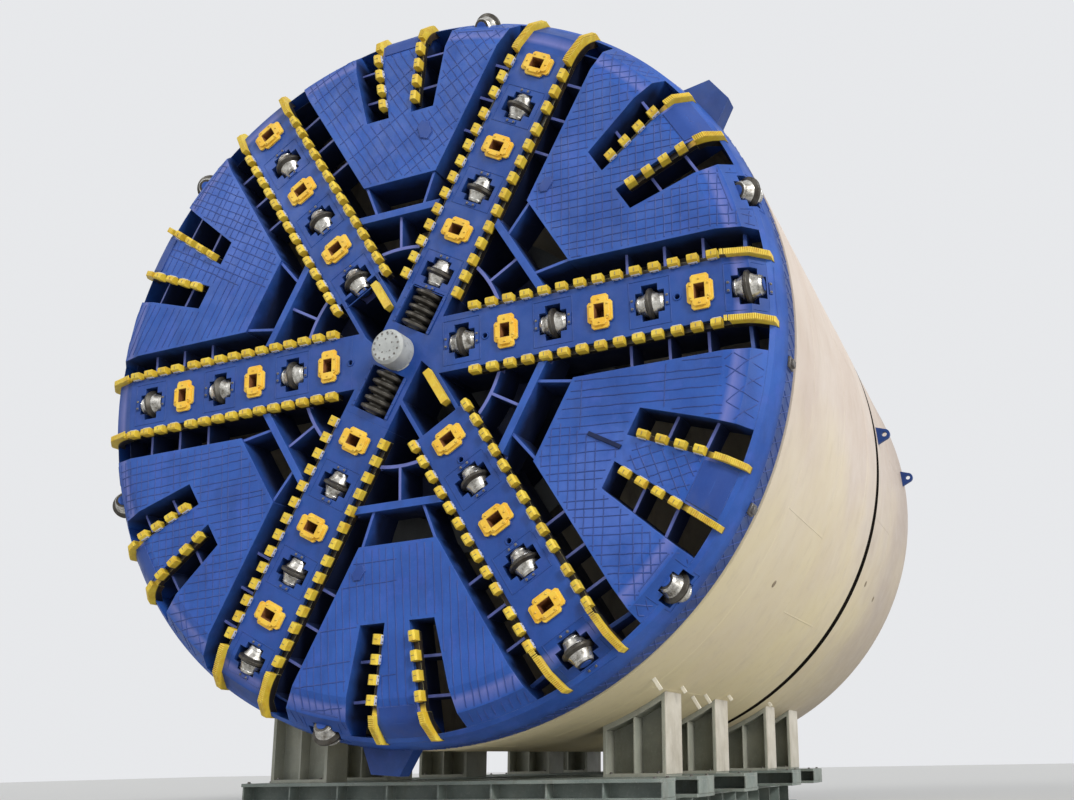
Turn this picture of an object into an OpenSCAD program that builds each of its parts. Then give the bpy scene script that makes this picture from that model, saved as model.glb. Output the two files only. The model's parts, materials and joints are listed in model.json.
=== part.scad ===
// Shielded tunnel boring machine: cutterhead, shield and assembly cradle.
// Millimetres. Z is up, the head looks along -Y, the turning axis runs along Y.
// Depths are measured back from the plane of the scraper tips, radii from the turning axis.

/* [Cutterhead] */
// Radius of the head's steel rim
rim_r = 5540; // [5500:5:5580]
// How far the gauge cutters cut past the rim
gauge_cut = 50; // [30:5:60]
// Thickness of the rim ring
rim_t = 150; // [120:10:200]
// Depth of the blue faces behind the scraper tips
face_y = 90; // [60:5:120]
// Depth of the head's back edge
head_back_y = 1150; // [1100:10:1200]
// Width of the bent zone at the rim, seen from the front
bend_w = 660; // [600:10:720]
// Depth of the bent zone
bend_d = 690; // [600:10:750]
// Angle of the first arm at rest
first_arm_deg = 62.2; // [0:0.1:90]
// Half of the width of an arm
arm_half_w = 420; // [400:5:440]
// Depth of the arms' back
arm_back_y = 1000; // [900:10:1050]
// Gap between an arm's side and the panel beside it
muck_gap = 430; // [380:10:480]

/* [Panels] */
// Length of a panel inwards from the rim
panel_l = 2770; // [2600:10:2900]
// Thickness of a panel
panel_t = 610; // [500:10:700]
// Length of the slots inwards from the rim
slot_l = 1680; // [1600:10:1750]
// Half of the width of the strip between two slots at its inner end
strip_half_w = 190; // [160:5:220]
// Width of a slot at its inner end
slot_w = 390; // [340:10:420]
// Angle of the slot's scraper side
strip_deg = 6.7; // [5:0.1:8]
// Angle of the slot's open side
slot_side_deg = 12.3; // [10:0.1:14]
// Thickness of the cross plates in the openings
web_t = 40; // [25:5:60]
// Depth of the cross plates behind the face
web_drop = 180; // [150:10:240]

/* [Tools] */
// Distance from one scraper to the next, before it is evened out along a row
scraper_pitch = 262; // [250:1:280]
// Length of a scraper along its row
scraper_l = 140; // [110:5:170]
// Width of a scraper
scraper_w = 110; // [100:5:120]
// Depth of a scraper's seat
scraper_y = 150; // [130:10:170]
// Thickness of the seat bar that carries a row
seat_t = 80; // [60:5:100]
// Width of a rim blade
blade_w = 85; // [70:5:100]
// Radius of a disc cutter's ring
disc_r = 225; // [200:5:230]
// How far the rings stand in front of the scrapers
disc_proud = 30; // [10:5:50]
// Length of a disc cutter's hub
disc_hub_l = 390; // [360:10:410]
// Radius of the fixed shaft in a disc cutter
shaft_r = 80; // [60:5:90]
// Running clearance round the shaft
shaft_gap = 0.08; // [0.05:0.01:0.1]
// Clearance between a disc cutter and its pocket
pocket_gap = 10; // [8:1:20]
// Radius of the hub's cap
cap_r = 260; // [240:10:280]
// How far the hub's cap stands in front of the scrapers
cap_proud = 220; // [100:10:300]

/* [Shield] */
// How far the front shield stands out past the rim
shield_lip = 20; // [15:5:40]
// Step from the front shield in to the tail shield
tail_step = 15; // [10:5:25]
// Gap between the head's back and the shield's front edge
head_gap = 40; // [30:5:60]
// Depth of the seam between front and tail shield
seam_y = 8150; // [8000:50:8300]
// Width of the seam
seam_w = 90; // [60:10:120]
// Depth of the tail's rear edge
tail_end_y = 13000; // [12950:50:13500]
// Thickness of the shield's wall
shell_t = 80; // [60:5:100]

/* [Drive] */
// Outer radius of the turning drum behind the arms
drum_r = 2100; // [2050:50:2200]
// Thickness of the turning drum
drum_t = 600; // [500:50:700]
// Depth of the pressure bulkhead's front
bulkhead_y = 2400; // [2300:50:2600]
// Thickness of the bulkhead
bulkhead_t = 120; // [80:10:160]
// Radius of the main drive's casing
drive_r = 2600; // [2500:50:2800]
// Depth of the casing's front
drive_front_y = 1900; // [1850:10:2000]
// Depth of the casing's back
drive_back_y = 3900; // [3600:50:4200]

/* [Cradle] */
// Space between the floor and the shield
under_clearance = 1160; // [1100:10:1250]
// Height of the two long girders
girder_h = 440; // [400:10:480]
// Height of the cross beams on them
beam_h = 300; // [260:10:320]
// Width of a saddle across the machine
saddle_w = 1000; // [900:50:1100]
// Inner side of the saddles from the middle
saddle_x = 1900; // [1800:50:2000]
// Thickness of the cradle's plates
plate_t = 50; // [40:5:70]

/* [Hidden] */
$fn = 96;

e = 1;
// Root gap between two pieces that are welded or bolted to each other
seat_gap = 0.3;
front_y = -cap_proud;
mid_y = (front_y + tail_end_y) / 2;
rim_inner_r = rim_r - rim_t;
shield_r = rim_r + shield_lip;
tail_r = shield_r - tail_step;
shield_front_y = head_back_y + head_gap;
axis_z = shield_r + under_clearance;
disc_y = disc_r - disc_proud;

function arm_deg(k) = first_arm_deg - 60 * (k - 1);

// Bent zone in steps of a quarter round
bend_steps = 3;
function bend_turn(i) = i * 90 / bend_steps;
function bend_r(i, off) = rim_r - bend_w * (1 - sin(bend_turn(i))) + off * sin(bend_turn(i));
function bend_y(i, off) = face_y + bend_d * (1 - cos(bend_turn(i))) - off * cos(bend_turn(i));

// Points of the head's front from the bend outwards, moved off its surface by off
function bend_points(off) = [for (i = [0:bend_steps]) [bend_r(i, off), bend_y(i, off)]];

// Depth of the head's front at a radius
function front_depth(r) = lookup(r, bend_points(0));

module on_axis() {
    translate([0, -mid_y, axis_z]) children();
}

// Local frame of an arm or a panel: X runs outwards, Z counter-clockwise seen from the front
module at_angle(deg) {
    on_axis() rotate([0, -deg, 0]) children();
}

module in_arm(k) {
    at_angle(arm_deg(k)) children();
}

module in_panel(k) {
    at_angle(arm_deg(k) - 30) children();
}

// Outline in X and Z, made solid from depth y0 to depth y1
module deep(y0, y1) {
    translate([0, y1, 0]) rotate([90, 0, 0]) linear_extrude(y1 - y0) children();
}

// Profile of radius and depth, turned about the machine's axis
module turned() {
    rotate([-90, 0, 0]) rotate_extrude($fn = 360) children();
}

module box(x0, x1, y0, y1, z0, z1) {
    translate([x0, y0, z0]) cube([x1 - x0, y1 - y0, z1 - z0]);
}

module both_sides() {
    children();
    mirror([0, 0, 1]) children();
}

module tube(r0, r1, y0, y1) {
    turned() translate([r0, y0]) square([r1 - r0, y1 - y0]);
}

// The head's body from its front, moved by off, out to radius r_end and back to depth back_y
module head_form(r_end, back_y, off = 0) {
    turned() intersection() {
        polygon(concat([[0, face_y - off]], bend_points(off), [[rim_r + off, back_y], [0, back_y]]));
        square([r_end, back_y]);
    }
}

// Flat bar from point p to point q in X and Z
module bar(p, q, t) {
    d = q - p;
    translate(p) rotate(atan2(d[1], d[0])) translate([0, -t / 2]) square([norm(d), t]);
}

// Tools of the arms: [kind of the innermost, its radius, distance of the last from the rim, how many,
// 1 with a disc cutter at the rim]. Disc cutters and ripper boxes take turns.
DISC = 0;
BOX = 1;
arm_tools = [
    [DISC, 1290, 880, 6, 0],
    [DISC, 1030, 990, 6, 1],
    [BOX, 1650, 1060, 5, 1],
    [BOX, 1400, 730, 6, 0],
    [BOX, 1160, 1070, 6, 0],
    [DISC, 1490, 780, 6, 0]];
FIRST_KIND = 0;
FIRST_R = 1;
LAST_FROM_RIM = 2;
TOOL_COUNT = 3;
HAS_EDGE_DISC = 4;

// Radii of the small ports of each arm
arm_ports = [[], [1400, 4230], [2010, 3420], [], [800], []];
port_r = 35;
port_deep = 120;

// Places of an arm's tools of one kind, evenly spaced
function tool_places(tools, kind) = [for (i = [0:tools[TOOL_COUNT] - 1]) if ((i + tools[FIRST_KIND]) % 2 == kind)
    tools[FIRST_R] + i * (rim_r - tools[LAST_FROM_RIM] - tools[FIRST_R]) / (tools[TOOL_COUNT] - 1)];

edge_disc_r = rim_inner_r - disc_r;
edge_disc_drop = 40;

// Disc cutters of each arm as [radius, depth of the axis]
arm_discs = [for (tools = arm_tools) concat(
    [for (r = tool_places(tools, DISC)) [r, disc_y]],
    tools[HAS_EDGE_DISC] == 1 ? [[edge_disc_r, disc_y + edge_disc_drop]] : [])];
arm_boxes = [for (tools = arm_tools) tool_places(tools, BOX)];

// All disc cutters on the arms as [arm, radius, depth of the axis]
disc_list = [for (k = [1:6]) for (place = arm_discs[k - 1]) [k, place[0], place[1]]];

// Radius where each arm leaves the hub
arm_start = [1060, 780, 1330, 1060, 780, 1330];

pocket_half_l = disc_hub_l / 2 + pocket_gap;
pocket_hub_w = 155;
pocket_ring_half_l = 115;
pocket_ring_w = disc_r + 3 * pocket_gap;
pocket_floor = disc_r + 4 * pocket_gap;

// Half of a disc cutter's outline along its axis: [radius, distance from the middle]
disc_outline = [[118, disc_hub_l / 2], [132, 150], [150, 95], [168, 60], [175, 45], [disc_r, 16]];

// Disc cutter about X: barrel hub with collars, tapered ring, bore for its shaft
module disc_cutter() {
    n = len(disc_outline);
    rotate([0, 90, 0]) rotate_extrude() polygon(concat(
        [[shaft_r + shaft_gap, -disc_hub_l / 2]],
        [for (p = disc_outline) [p[0], -p[1]]],
        [for (i = [n - 1:-1:0]) disc_outline[i]],
        [[shaft_r + shaft_gap, disc_hub_l / 2]]));
}

// Cross-shaped pocket for a disc cutter about X, open towards -Y
module disc_pocket(open_y) {
    box(-pocket_half_l, pocket_half_l, open_y, pocket_floor, -pocket_hub_w, pocket_hub_w);
    box(-pocket_ring_half_l, pocket_ring_half_l, open_y, pocket_floor, -pocket_ring_w, pocket_ring_w);
}

// Shaft across a pocket, let into its walls
module disc_shaft(reach) {
    translate([-pocket_half_l - e, 0, 0]) rotate([0, 90, 0]) cylinder(r = shaft_r, h = pocket_half_l + e + reach);
}

ripper_hole = [150, 210];
ripper_deep = 200;

module arm(k) {
    color("royalblue") in_arm(k) {
        difference() {
            intersection() {
                box(arm_start[k - 1] + seat_gap, rim_r, face_y, arm_back_y, -arm_half_w, arm_half_w);
                head_form(rim_inner_r - seat_gap, arm_back_y);
            }
            for (place = arm_discs[k - 1]) translate([place[0], place[1], 0]) disc_pocket(-2 * disc_r);
            for (r = arm_boxes[k - 1])
                box(r - ripper_hole[0] / 2, r + ripper_hole[0] / 2, 0, face_y + ripper_deep,
                    -ripper_hole[1] / 2, ripper_hole[1] / 2);
            for (r = arm_ports[k - 1])
                translate([r, 0, 0]) rotate([-90, 0, 0]) cylinder(r = port_r, h = face_y + port_deep);
        }
        for (place = arm_discs[k - 1]) translate([place[0], place[1], 0]) disc_shaft(pocket_half_l + e);
    }
}

// Ripper box: [half length, half width] of the two rectangles of its cross, foot and raised collar
ripper_foot = [[180, 150], [125, 245]];
ripper_collar = [[145, 125], [100, 205]];
ripper_foot_t = 35;
ripper_collar_t = 30;

// How much each corner of the cross is cut off
ripper_corner = 28;

module cut_square(half) {
    c = ripper_corner;
    polygon([[-half[0] + c, -half[1]], [half[0] - c, -half[1]], [half[0], -half[1] + c], [half[0], half[1] - c],
             [half[0] - c, half[1]], [-half[0] + c, half[1]], [-half[0], half[1] - c], [-half[0], -half[1] + c]]);
}

module ripper_cross(sizes) {
    for (s = sizes) cut_square(s);
}

module tool_boxes() {
    color("gold") for (k = [1:6]) in_arm(k) for (r = arm_boxes[k - 1]) translate([r, 0, 0]) {
        deep(face_y - ripper_foot_t, face_y) difference() {
            ripper_cross(ripper_foot);
            square(ripper_hole, center = true);
        }
        deep(face_y - ripper_foot_t - ripper_collar_t, face_y - ripper_foot_t) difference() {
            ripper_cross(ripper_collar);
            square(ripper_hole, center = true);
        }
    }
}

// Side walls that carry arms 3 and 6 to the hub
wall_n = 330;
wall_t = 60;
// Slots for the centre cutters along arm 1: [inner end, outer end]
centre_slot = [[400, 1020], [-950, -cap_r - 2 * pocket_gap]];
centre_slot_half_w = 285;
centre_rings = 5;
// Arms 2 and 5 narrow to a point between the slots
spear_end = [360, 160];
spear_start_u = 620;

module spear(start) {
    polygon([[0, -spear_end[1]], [spear_end[0], -spear_end[1]], [spear_start_u, -arm_half_w], [start, -arm_half_w],
             [start, arm_half_w], [spear_start_u, arm_half_w], spear_end, [0, spear_end[1]]]);
}

module hub() {
    color("royalblue") in_arm(1) {
        difference() {
            deep(face_y, arm_back_y) union() {
                translate([-arm_start[3], -arm_half_w]) square([arm_start[0] + arm_start[3], 2 * arm_half_w]);
                rotate(-60) spear(arm_start[1]);
                rotate(120) spear(arm_start[4]);
                rotate(-120) for (s = [-1, 1]) translate([-arm_start[5], s * wall_n - wall_t / 2])
                    square([arm_start[2] + arm_start[5], wall_t]);
            }
            for (slot = centre_slot)
                box(slot[0], slot[1], 0, disc_y + pocket_floor, -centre_slot_half_w, centre_slot_half_w);
        }
        for (slot = centre_slot)
            translate([slot[0] - e, disc_y, 0]) rotate([0, 90, 0]) cylinder(r = shaft_r, h = slot[1] - slot[0] + 2 * e);
    }
}

cap_edge = 40;

module hub_cap() {
    color("lightgray") on_axis() turned()
        polygon([[0, front_y], [cap_r - cap_edge, front_y], [cap_r, front_y + cap_edge],
                 [cap_r, face_y - seat_gap], [0, face_y - seat_gap]]);
}

// Stack of twin rings on one shaft in a slot of the hub
module centre_discs(slot) {
    l = slot[1] - slot[0] - 2 * pocket_gap;
    pitch = l / centre_rings;
    body_r = 130;
    root_r = 165;
    root_half = 0.4 * pitch;
    tip_half = 0.14 * pitch;
    color("dimgray") in_arm(1) translate([slot[0] + pocket_gap, disc_y, 0]) rotate([0, 90, 0]) difference() {
        union() {
            cylinder(r = body_r, h = l);
            for (i = [0:centre_rings - 1]) translate([0, 0, pitch * (i + 0.5)]) rotate_extrude()
                polygon([[0, -root_half], [root_r, -root_half], [disc_r, -tip_half], [disc_r, tip_half],
                         [root_r, root_half], [0, root_half]]);
        }
        translate([0, 0, -e]) cylinder(r = shaft_r + shaft_gap, h = l + 2 * e);
    }
}

// Place of the gauge cutter on its panel
gauge_deg = -14.3;
gauge_tilt = 62;
gauge_drop = 370;
gauge_y = face_y + gauge_drop;
gauge_r = rim_r + gauge_cut - disc_r * sin(gauge_tilt) - 16 * cos(gauge_tilt);

module in_gauge(k) {
    at_angle(arm_deg(k) - 30 + gauge_deg) translate([gauge_r, gauge_y, 0]) rotate([0, 0, gauge_tilt]) children();
}

panel_inner_u = rim_r - panel_l;
panel_back_y = face_y + panel_t;
slot_start_u = rim_r - slot_l;
panel_side = arm_half_w + muck_gap;

function panel_half_w(u) = (u * sin(30) - panel_side) / cos(30);
function slot_near(u) = strip_half_w + (u - slot_start_u) * tan(strip_deg);
function slot_far(u) = strip_half_w + slot_w + (u - slot_start_u) * tan(slot_side_deg);

module panel_outline() {
    polygon([[panel_inner_u, -panel_half_w(panel_inner_u)], [rim_r, -panel_half_w(rim_r)],
             [rim_r, panel_half_w(rim_r)], [panel_inner_u, panel_half_w(panel_inner_u)]]);
}

module slot_outline() {
    polygon([[slot_start_u, slot_near(slot_start_u)], [rim_r, slot_near(rim_r)],
             [rim_r, slot_far(rim_r)], [slot_start_u, slot_far(slot_start_u)]]);
}

// Cross plates: distances from the rim in the slots and in the gaps beside the arms
slot_web_from_rim = [1200, 660];
side_web_from_rim = 420;
side_web_pitch = 545;
side_web_count = 4;

module cross_plate(u, n0, n1) {
    box(u - web_t / 2, u + web_t / 2, face_y, panel_back_y, n0, n1);
}

module panel(k) {
    color("royalblue") {
        difference() {
            intersection() {
                in_panel(k) deep(face_y, panel_back_y) panel_outline();
                on_axis() head_form(rim_inner_r - seat_gap, panel_back_y);
            }
            in_panel(k) both_sides() deep(0, panel_back_y + e) slot_outline();
            in_gauge(k) disc_pocket(-2 * disc_r);
        }
        intersection() {
            union() {
                in_panel(k) for (d = slot_web_from_rim) both_sides()
                    cross_plate(rim_r - d, slot_near(rim_r - d) - e, slot_far(rim_r - d) + e);
                for (side = [0, 1]) in_arm(k + side) for (i = [0:side_web_count - 1])
                    cross_plate(rim_r - side_web_from_rim - i * side_web_pitch,
                                side == 0 ? -panel_side - e : arm_half_w + seat_gap,
                                side == 0 ? -arm_half_w - seat_gap : panel_side + e);
            }
            on_axis() head_form(rim_inner_r - seat_gap, panel_back_y, -web_drop);
        }
        in_gauge(k) disc_shaft(pocket_half_l - seat_gap);
    }
}

module rim_ring() {
    color("royalblue") difference() {
        on_axis() difference() {
            head_form(rim_r, head_back_y);
            tube(0, rim_inner_r, 0, head_back_y + e);
        }
        for (k = [1:6]) in_gauge(k) disc_pocket(-2 * disc_r);
    }
}

// Ring of beams between the arms
gusset_l = 480;
beam_t = 110;
rib_l = 490;
arc_t = 50;
ring_drop = 60;
beam_u = panel_inner_u - gusset_l;
arc_r = beam_u - beam_t - rib_l;
gusset_foot_n = 400;
row_clearance = 10;

// Beam, arc plate, gussets and rib between two arms
module inner_ring() {
    corner_n = panel_half_w(panel_inner_u) - web_t;
    color("royalblue") for (k = [1:6]) difference() {
        in_panel(k) {
            box(beam_u - beam_t, beam_u, face_y, panel_back_y, -beam_u * tan(30), beam_u * tan(30));
            box(arc_r - arc_t / 2, beam_u - e, face_y + ring_drop, panel_back_y, -web_t / 2, web_t / 2);
            both_sides() deep(face_y + ring_drop / 2, panel_back_y - e) intersection() {
                bar([beam_u - gusset_l, 2 * gusset_foot_n - corner_n],
                    [panel_inner_u + gusset_l, 2 * corner_n - gusset_foot_n], web_t);
                translate([beam_u - e, 0]) square([gusset_l + e - seat_gap, beam_u]);
            }
            intersection() {
                tube(arc_r - arc_t, arc_r, face_y + ring_drop, panel_back_y);
                box(0, beam_u, 0, head_back_y, -arc_r * sin(30), arc_r * sin(30));
            }
        }
        for (side = [0, 1]) in_arm(k + side) {
            box(0, rim_r, 0, head_back_y, -arm_half_w - seat_gap, arm_half_w + seat_gap);
            box(0, rim_r, 0, seat_y + row_clearance, -arm_half_w - scraper_w - row_clearance,
                arm_half_w + scraper_w + row_clearance);
        }
    }
}

drum_clearance = 10;

module drive_drum() {
    color("royalblue") on_axis() tube(drum_r - drum_t, drum_r, arm_back_y + seat_gap, drive_front_y - drum_clearance);
}

// Scraper rows of the arms: [first radius, blade's start from the rim, scrapers outside a wider step,
// width of that step]
arm_rows = [
    [1120, 760, 3, 350],
    [1250, 610, 0, 0],
    [1400, 580, 3, 390],
    [1270, 740, 0, 0],
    [1100, 610, 4, 320],
    [1270, 740, 0, 0]];
ROW_FIRST_R = 0;
BLADE_FROM_RIM = 1;
OUTER_COUNT = 2;
STEP_W = 3;
blade_gap = 180;
seat_y = 240;

// Outline of a scraper in [distance from the arm, depth]
scraper_outline = [[0, scraper_y + e], [0, 40], [20, 8], [scraper_w - 25, 0], [scraper_w, 18], [scraper_w, scraper_y + e]];

// One scraper with its cutting edge towards +Z
module scraper(l) {
    translate([-l / 2, 0, 0]) rotate([90, 0, 90]) linear_extrude(l) polygon([for (p = scraper_outline) [p[1], p[0]]]);
}

// Radii of a row's scrapers, evenly spaced inside and outside its step
function row_end(row) = rim_r - row[BLADE_FROM_RIM] - blade_gap;
function row_outer(row) = [for (i = [0:1:row[OUTER_COUNT] - 1]) row_end(row) - i * scraper_pitch];
function row_mid(row) = row[OUTER_COUNT] == 0 ? row_end(row)
    : row_end(row) - (row[OUTER_COUNT] - 1) * scraper_pitch - row[STEP_W];
function row_count(row) = round((row_mid(row) - row[ROW_FIRST_R]) / scraper_pitch);
function row_inner(row) = [for (i = [0:row_count(row)])
    row[ROW_FIRST_R] + i * (row_mid(row) - row[ROW_FIRST_R]) / row_count(row)];

// A row on an arm's side towards +Z: seat bar and scrapers
module arm_row(row) {
    translate([0, 0, arm_half_w + seat_gap]) {
        box(row[ROW_FIRST_R] - scraper_l / 2, rim_r - row[BLADE_FROM_RIM] + scraper_l, scraper_y, seat_y, 0, seat_t);
        for (r = concat(row_inner(row), row_outer(row))) translate([r, 0, 0]) scraper(scraper_l);
    }
}

blade_back = 140;
blade_short = 60;

// Points of an outline on the head's front between two radii, moved by off and back by drop
function band_points(r0, r1, off, drop) = let(points = bend_points(off)) concat(
    [[r0, lookup(r0, points) + drop]],
    [for (p = points) if (p[0] > r0 && p[0] < r1) p + [0, drop]],
    [[r1, lookup(r1, points) + drop]]);

function reversed(points) = [for (i = [len(points) - 1:-1:0]) points[i]];

// Band along the head's front that all the rim blades lie in, clear of the rim ring
module blade_band() {
    start_r = rim_r - slot_l;
    seat_r = rim_inner_r - seat_gap;
    end_r = rim_r - blade_short;
    on_axis() turned() polygon(concat(
        band_points(start_r, end_r, face_y, 0),
        reversed(band_points(seat_r, end_r, seat_gap, -seat_gap)),
        reversed(band_points(start_r, seat_r, 0, blade_back))));
}

// Long scraper bars inside the walls of arms 3 and 6: [arm, side, inner end, outer end]
long_bars = [[3, 1, 580, 1170], [6, -1, 680, 1170]];

module arm_scrapers() {
    color("gold") {
        for (k = [1:6]) in_arm(k) both_sides() arm_row(arm_rows[k - 1]);
        intersection() {
            for (k = [1:6]) in_arm(k) both_sides()
                box(rim_r - arm_rows[k - 1][BLADE_FROM_RIM], rim_r, 0, head_back_y,
                    arm_half_w + seat_gap, arm_half_w + seat_gap + blade_w);
            blade_band();
        }
        for (b = long_bars) in_arm(b[0]) mirror([0, 0, b[1] > 0 ? 0 : 1])
            box(b[2], b[3], 0, scraper_y, wall_n - wall_t / 2 - seat_gap - scraper_w, wall_n - wall_t / 2 - seat_gap);
    }
}

// Rows on the strips between the slots: four scrapers, then the rim blade
strip_first_s = 230;
strip_pitch = 270;
strip_count = 4;
strip_blade_s = 1240;

module in_strip() {
    translate([slot_start_u, 0, strip_half_w + seat_gap]) rotate([0, -strip_deg, 0]) children();
}

module panel_scrapers() {
    color("gold") {
        for (k = [1:6]) in_panel(k) both_sides() in_strip() {
            box(strip_first_s - scraper_l / 2, strip_blade_s + scraper_l, scraper_y, seat_y, 0, seat_t);
            for (i = [0:strip_count - 1]) translate([strip_first_s + i * strip_pitch, 0, 0]) scraper(scraper_l);
        }
        intersection() {
            for (k = [1:6]) in_panel(k) both_sides() in_strip() box(strip_blade_s, slot_l, 0, head_back_y, 0, blade_w);
            blade_band();
        }
    }
}

// Lifting blocks on the rim: [panel, angle from the panel's middle]
lug_places = [[1, 5.5], [3, -6.5]];
lug_h = 360;
lug_foot_half = 480;
lug_top_half = 230;
lug_side_gap = 60;

module rim_lugs() {
    color("royalblue") for (lug = lug_places) at_angle(arm_deg(lug[0]) - 30 + lug[1]) difference() {
        deep(face_y + bend_d + lug_side_gap, head_back_y - lug_side_gap)
            polygon([[rim_inner_r, -lug_foot_half], [rim_r + lug_h, -lug_top_half], [rim_r + lug_h, lug_top_half],
                     [rim_inner_r, lug_foot_half]]);
        tube(0, rim_r + seat_gap, 0, head_back_y);
    }
}

module disc(i) {
    color("dimgray") in_arm(disc_list[i - 1][0]) translate([disc_list[i - 1][1], disc_list[i - 1][2], 0]) disc_cutter();
}

module gauge_disc(k) {
    color("dimgray") in_gauge(k) disc_cutter();
}

shell_inner_r = shield_r - shell_t;
edge_ring_l = 400;
edge_ring_t = 60;
joint_ring_l = 160;
joint_ring_t = 90;

// Front shield with its thickened front edge and the joint ring before the seam
module front_shield() {
    color("wheat") on_axis() turned() {
        translate([shell_inner_r, shield_front_y]) square([shell_t, seam_y - shield_front_y - seat_gap]);
        translate([shell_inner_r - edge_ring_t, shield_front_y]) square([edge_ring_t + e, edge_ring_l]);
        translate([shell_inner_r - joint_ring_t, seam_y - joint_ring_l]) square([joint_ring_t + e, joint_ring_l - seat_gap]);
    }
}

// Seals inside the tail's rear end
seal_count = 3;
seal_pitch = 350;
seal_l = 120;
seal_h = 55;

module tail_shield() {
    inner_r = tail_r - shell_t;
    color("wheat") on_axis() turned() {
        translate([inner_r, seam_y + seam_w]) square([shell_t, tail_end_y - seam_y - seam_w]);
        for (i = [0:seal_count - 1]) translate([inner_r - seal_h, tail_end_y - (i + 1) * seal_pitch])
            square([seal_h + e, seal_l]);
    }
}

// How far the seam's seal lies behind the front shield's surface
seam_drop = 3;

module seam_ring() {
    color("black") on_axis() tube(tail_r - shell_t, shield_r - seam_drop, seam_y, seam_y + seam_w - seat_gap);
}

module bulkhead() {
    color("steelblue") on_axis()
        tube(drive_r + seat_gap, shell_inner_r - seat_gap, bulkhead_y, bulkhead_y + bulkhead_t);
}

flange_l = 160;
flange_w = 220;

// Casing of the main drive with a flange against the bulkhead
module main_drive() {
    color("gray") on_axis() turned() {
        translate([0, drive_front_y]) square([drive_r, drive_back_y - drive_front_y]);
        translate([0, bulkhead_y + bulkhead_t + seat_gap]) square([drive_r + flange_w, flange_l]);
    }
}

motor_count = 12;
motor_r = 240;
motor_l = 620;
gear_r = 300;
gear_l = 280;

// Drive motors with their gear units in a circle on the casing's back
module drive_motors() {
    color("steelblue") on_axis() for (i = [0:motor_count - 1]) rotate([0, i * 360 / motor_count, 0])
        translate([drive_r - gear_r - flange_w, drive_back_y + seat_gap, 0]) rotate([-90, 0, 0]) {
            cylinder(r = gear_r, h = gear_l);
            cylinder(r = motor_r, h = gear_l + motor_l);
        }
}

thrust_count = 20;
thrust_band = 630;
thrust_frame_l = 500;
thrust_wall_gap = 330;
thrust_body_r = 170;
thrust_rod_r = 110;
thrust_l = 2300;
rod_l = 240;
shoe_l = 160;
shoe_half_deg = 5.5;
shoe_half_h = 190;

thrust_frame_y = seam_y - joint_ring_l - seat_gap;

module thrust_ring() {
    color("steelblue") on_axis()
        tube(shell_inner_r - thrust_band, shell_inner_r - seat_gap, thrust_frame_y - thrust_frame_l, thrust_frame_y);
}

// Thrust cylinders on the frame, each with its rod and a curved shoe
module thrust_cylinders() {
    thrust_r = shell_inner_r - thrust_wall_gap;
    y0 = thrust_frame_y + seat_gap;
    shoe_y = y0 + thrust_l + rod_l;
    color("steelblue") on_axis() for (i = [0:thrust_count - 1]) rotate([0, (i + 0.5) * 360 / thrust_count, 0]) {
        translate([thrust_r, y0, 0]) rotate([-90, 0, 0]) {
            cylinder(r = thrust_body_r, h = thrust_l);
            cylinder(r = thrust_rod_r, h = thrust_l + rod_l + e);
        }
        intersection() {
            tube(thrust_r - shoe_half_h, thrust_r + shoe_half_h, shoe_y, shoe_y + shoe_l);
            deep(0, tail_end_y) polygon([[0, 0], [shield_r, -shield_r * tan(shoe_half_deg)],
                                         [shield_r, shield_r * tan(shoe_half_deg)]]);
        }
    }
}

// Lifting eyes on the tail: distances of their middles from the seam and from the rear edge,
// and the angle over the horizontal
eye_from_seam = 650;
eye_from_end = 500;
lug_eye_y = [seam_y + eye_from_seam, tail_end_y - eye_from_end];
lug_eye_deg = 6;
eye_r = 50;
eye_t = 80;
eye_out = 150;
eye_foot_half = 210;
eye_tip_r = 110;
// The lug's straight sides run from its foot to the round tip, and touch a circle of this radius inside the tip
eye_side_r = 108.5;
eye_side_deg = atan2(eye_foot_half, -eye_out - shell_t) - acos(eye_side_r / norm([eye_out + shell_t, eye_foot_half]));
eye_side_x = eye_side_r * cos(eye_side_deg);
eye_side_half = eye_side_r * sin(eye_side_deg);

module lifting_lugs() {
    color("royalblue") for (s = [0, 1]) for (y = lug_eye_y) on_axis() mirror([s, 0, 0]) rotate([0, -lug_eye_deg, 0])
        translate([0, y, 0]) difference() {
            union() {
                deep(-eye_t / 2, eye_t / 2)
                    polygon([[tail_r - shell_t, -eye_foot_half], [tail_r + eye_out + eye_side_x, -eye_side_half],
                             [tail_r + eye_out + eye_side_x, eye_side_half], [tail_r - shell_t, eye_foot_half]]);
                translate([tail_r + eye_out, -eye_t / 2, 0]) rotate([-90, 0, 0]) cylinder(r = eye_tip_r, h = eye_t);
            }
            translate([tail_r + eye_out, -eye_t, 0]) rotate([-90, 0, 0]) cylinder(r = eye_r, h = 2 * eye_t);
            translate([0, -eye_t, 0]) rotate([-90, 0, 0])
                cylinder(r = tail_r + seat_gap, h = 2 * eye_t, $fn = 360);
        }
}

// Cradle stations: [front depth, rear depth, last side of -1 and 1], each with its saddles on a cross beam.
// The front station has a saddle on the left only.
stations = [[1500, 2000, -1], [3050, 3800, 1], [5600, 6350, 1], [9100, 9800, 1], [11100, 11900, 1]];
FRONT_Y = 0;
REAR_Y = 1;
LAST_SIDE = 2;
beam_over = 50;
beam_half_l = 3400;
web_half = 30;
seat_rim = 30;
stiffener_pitch = 850;

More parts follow.
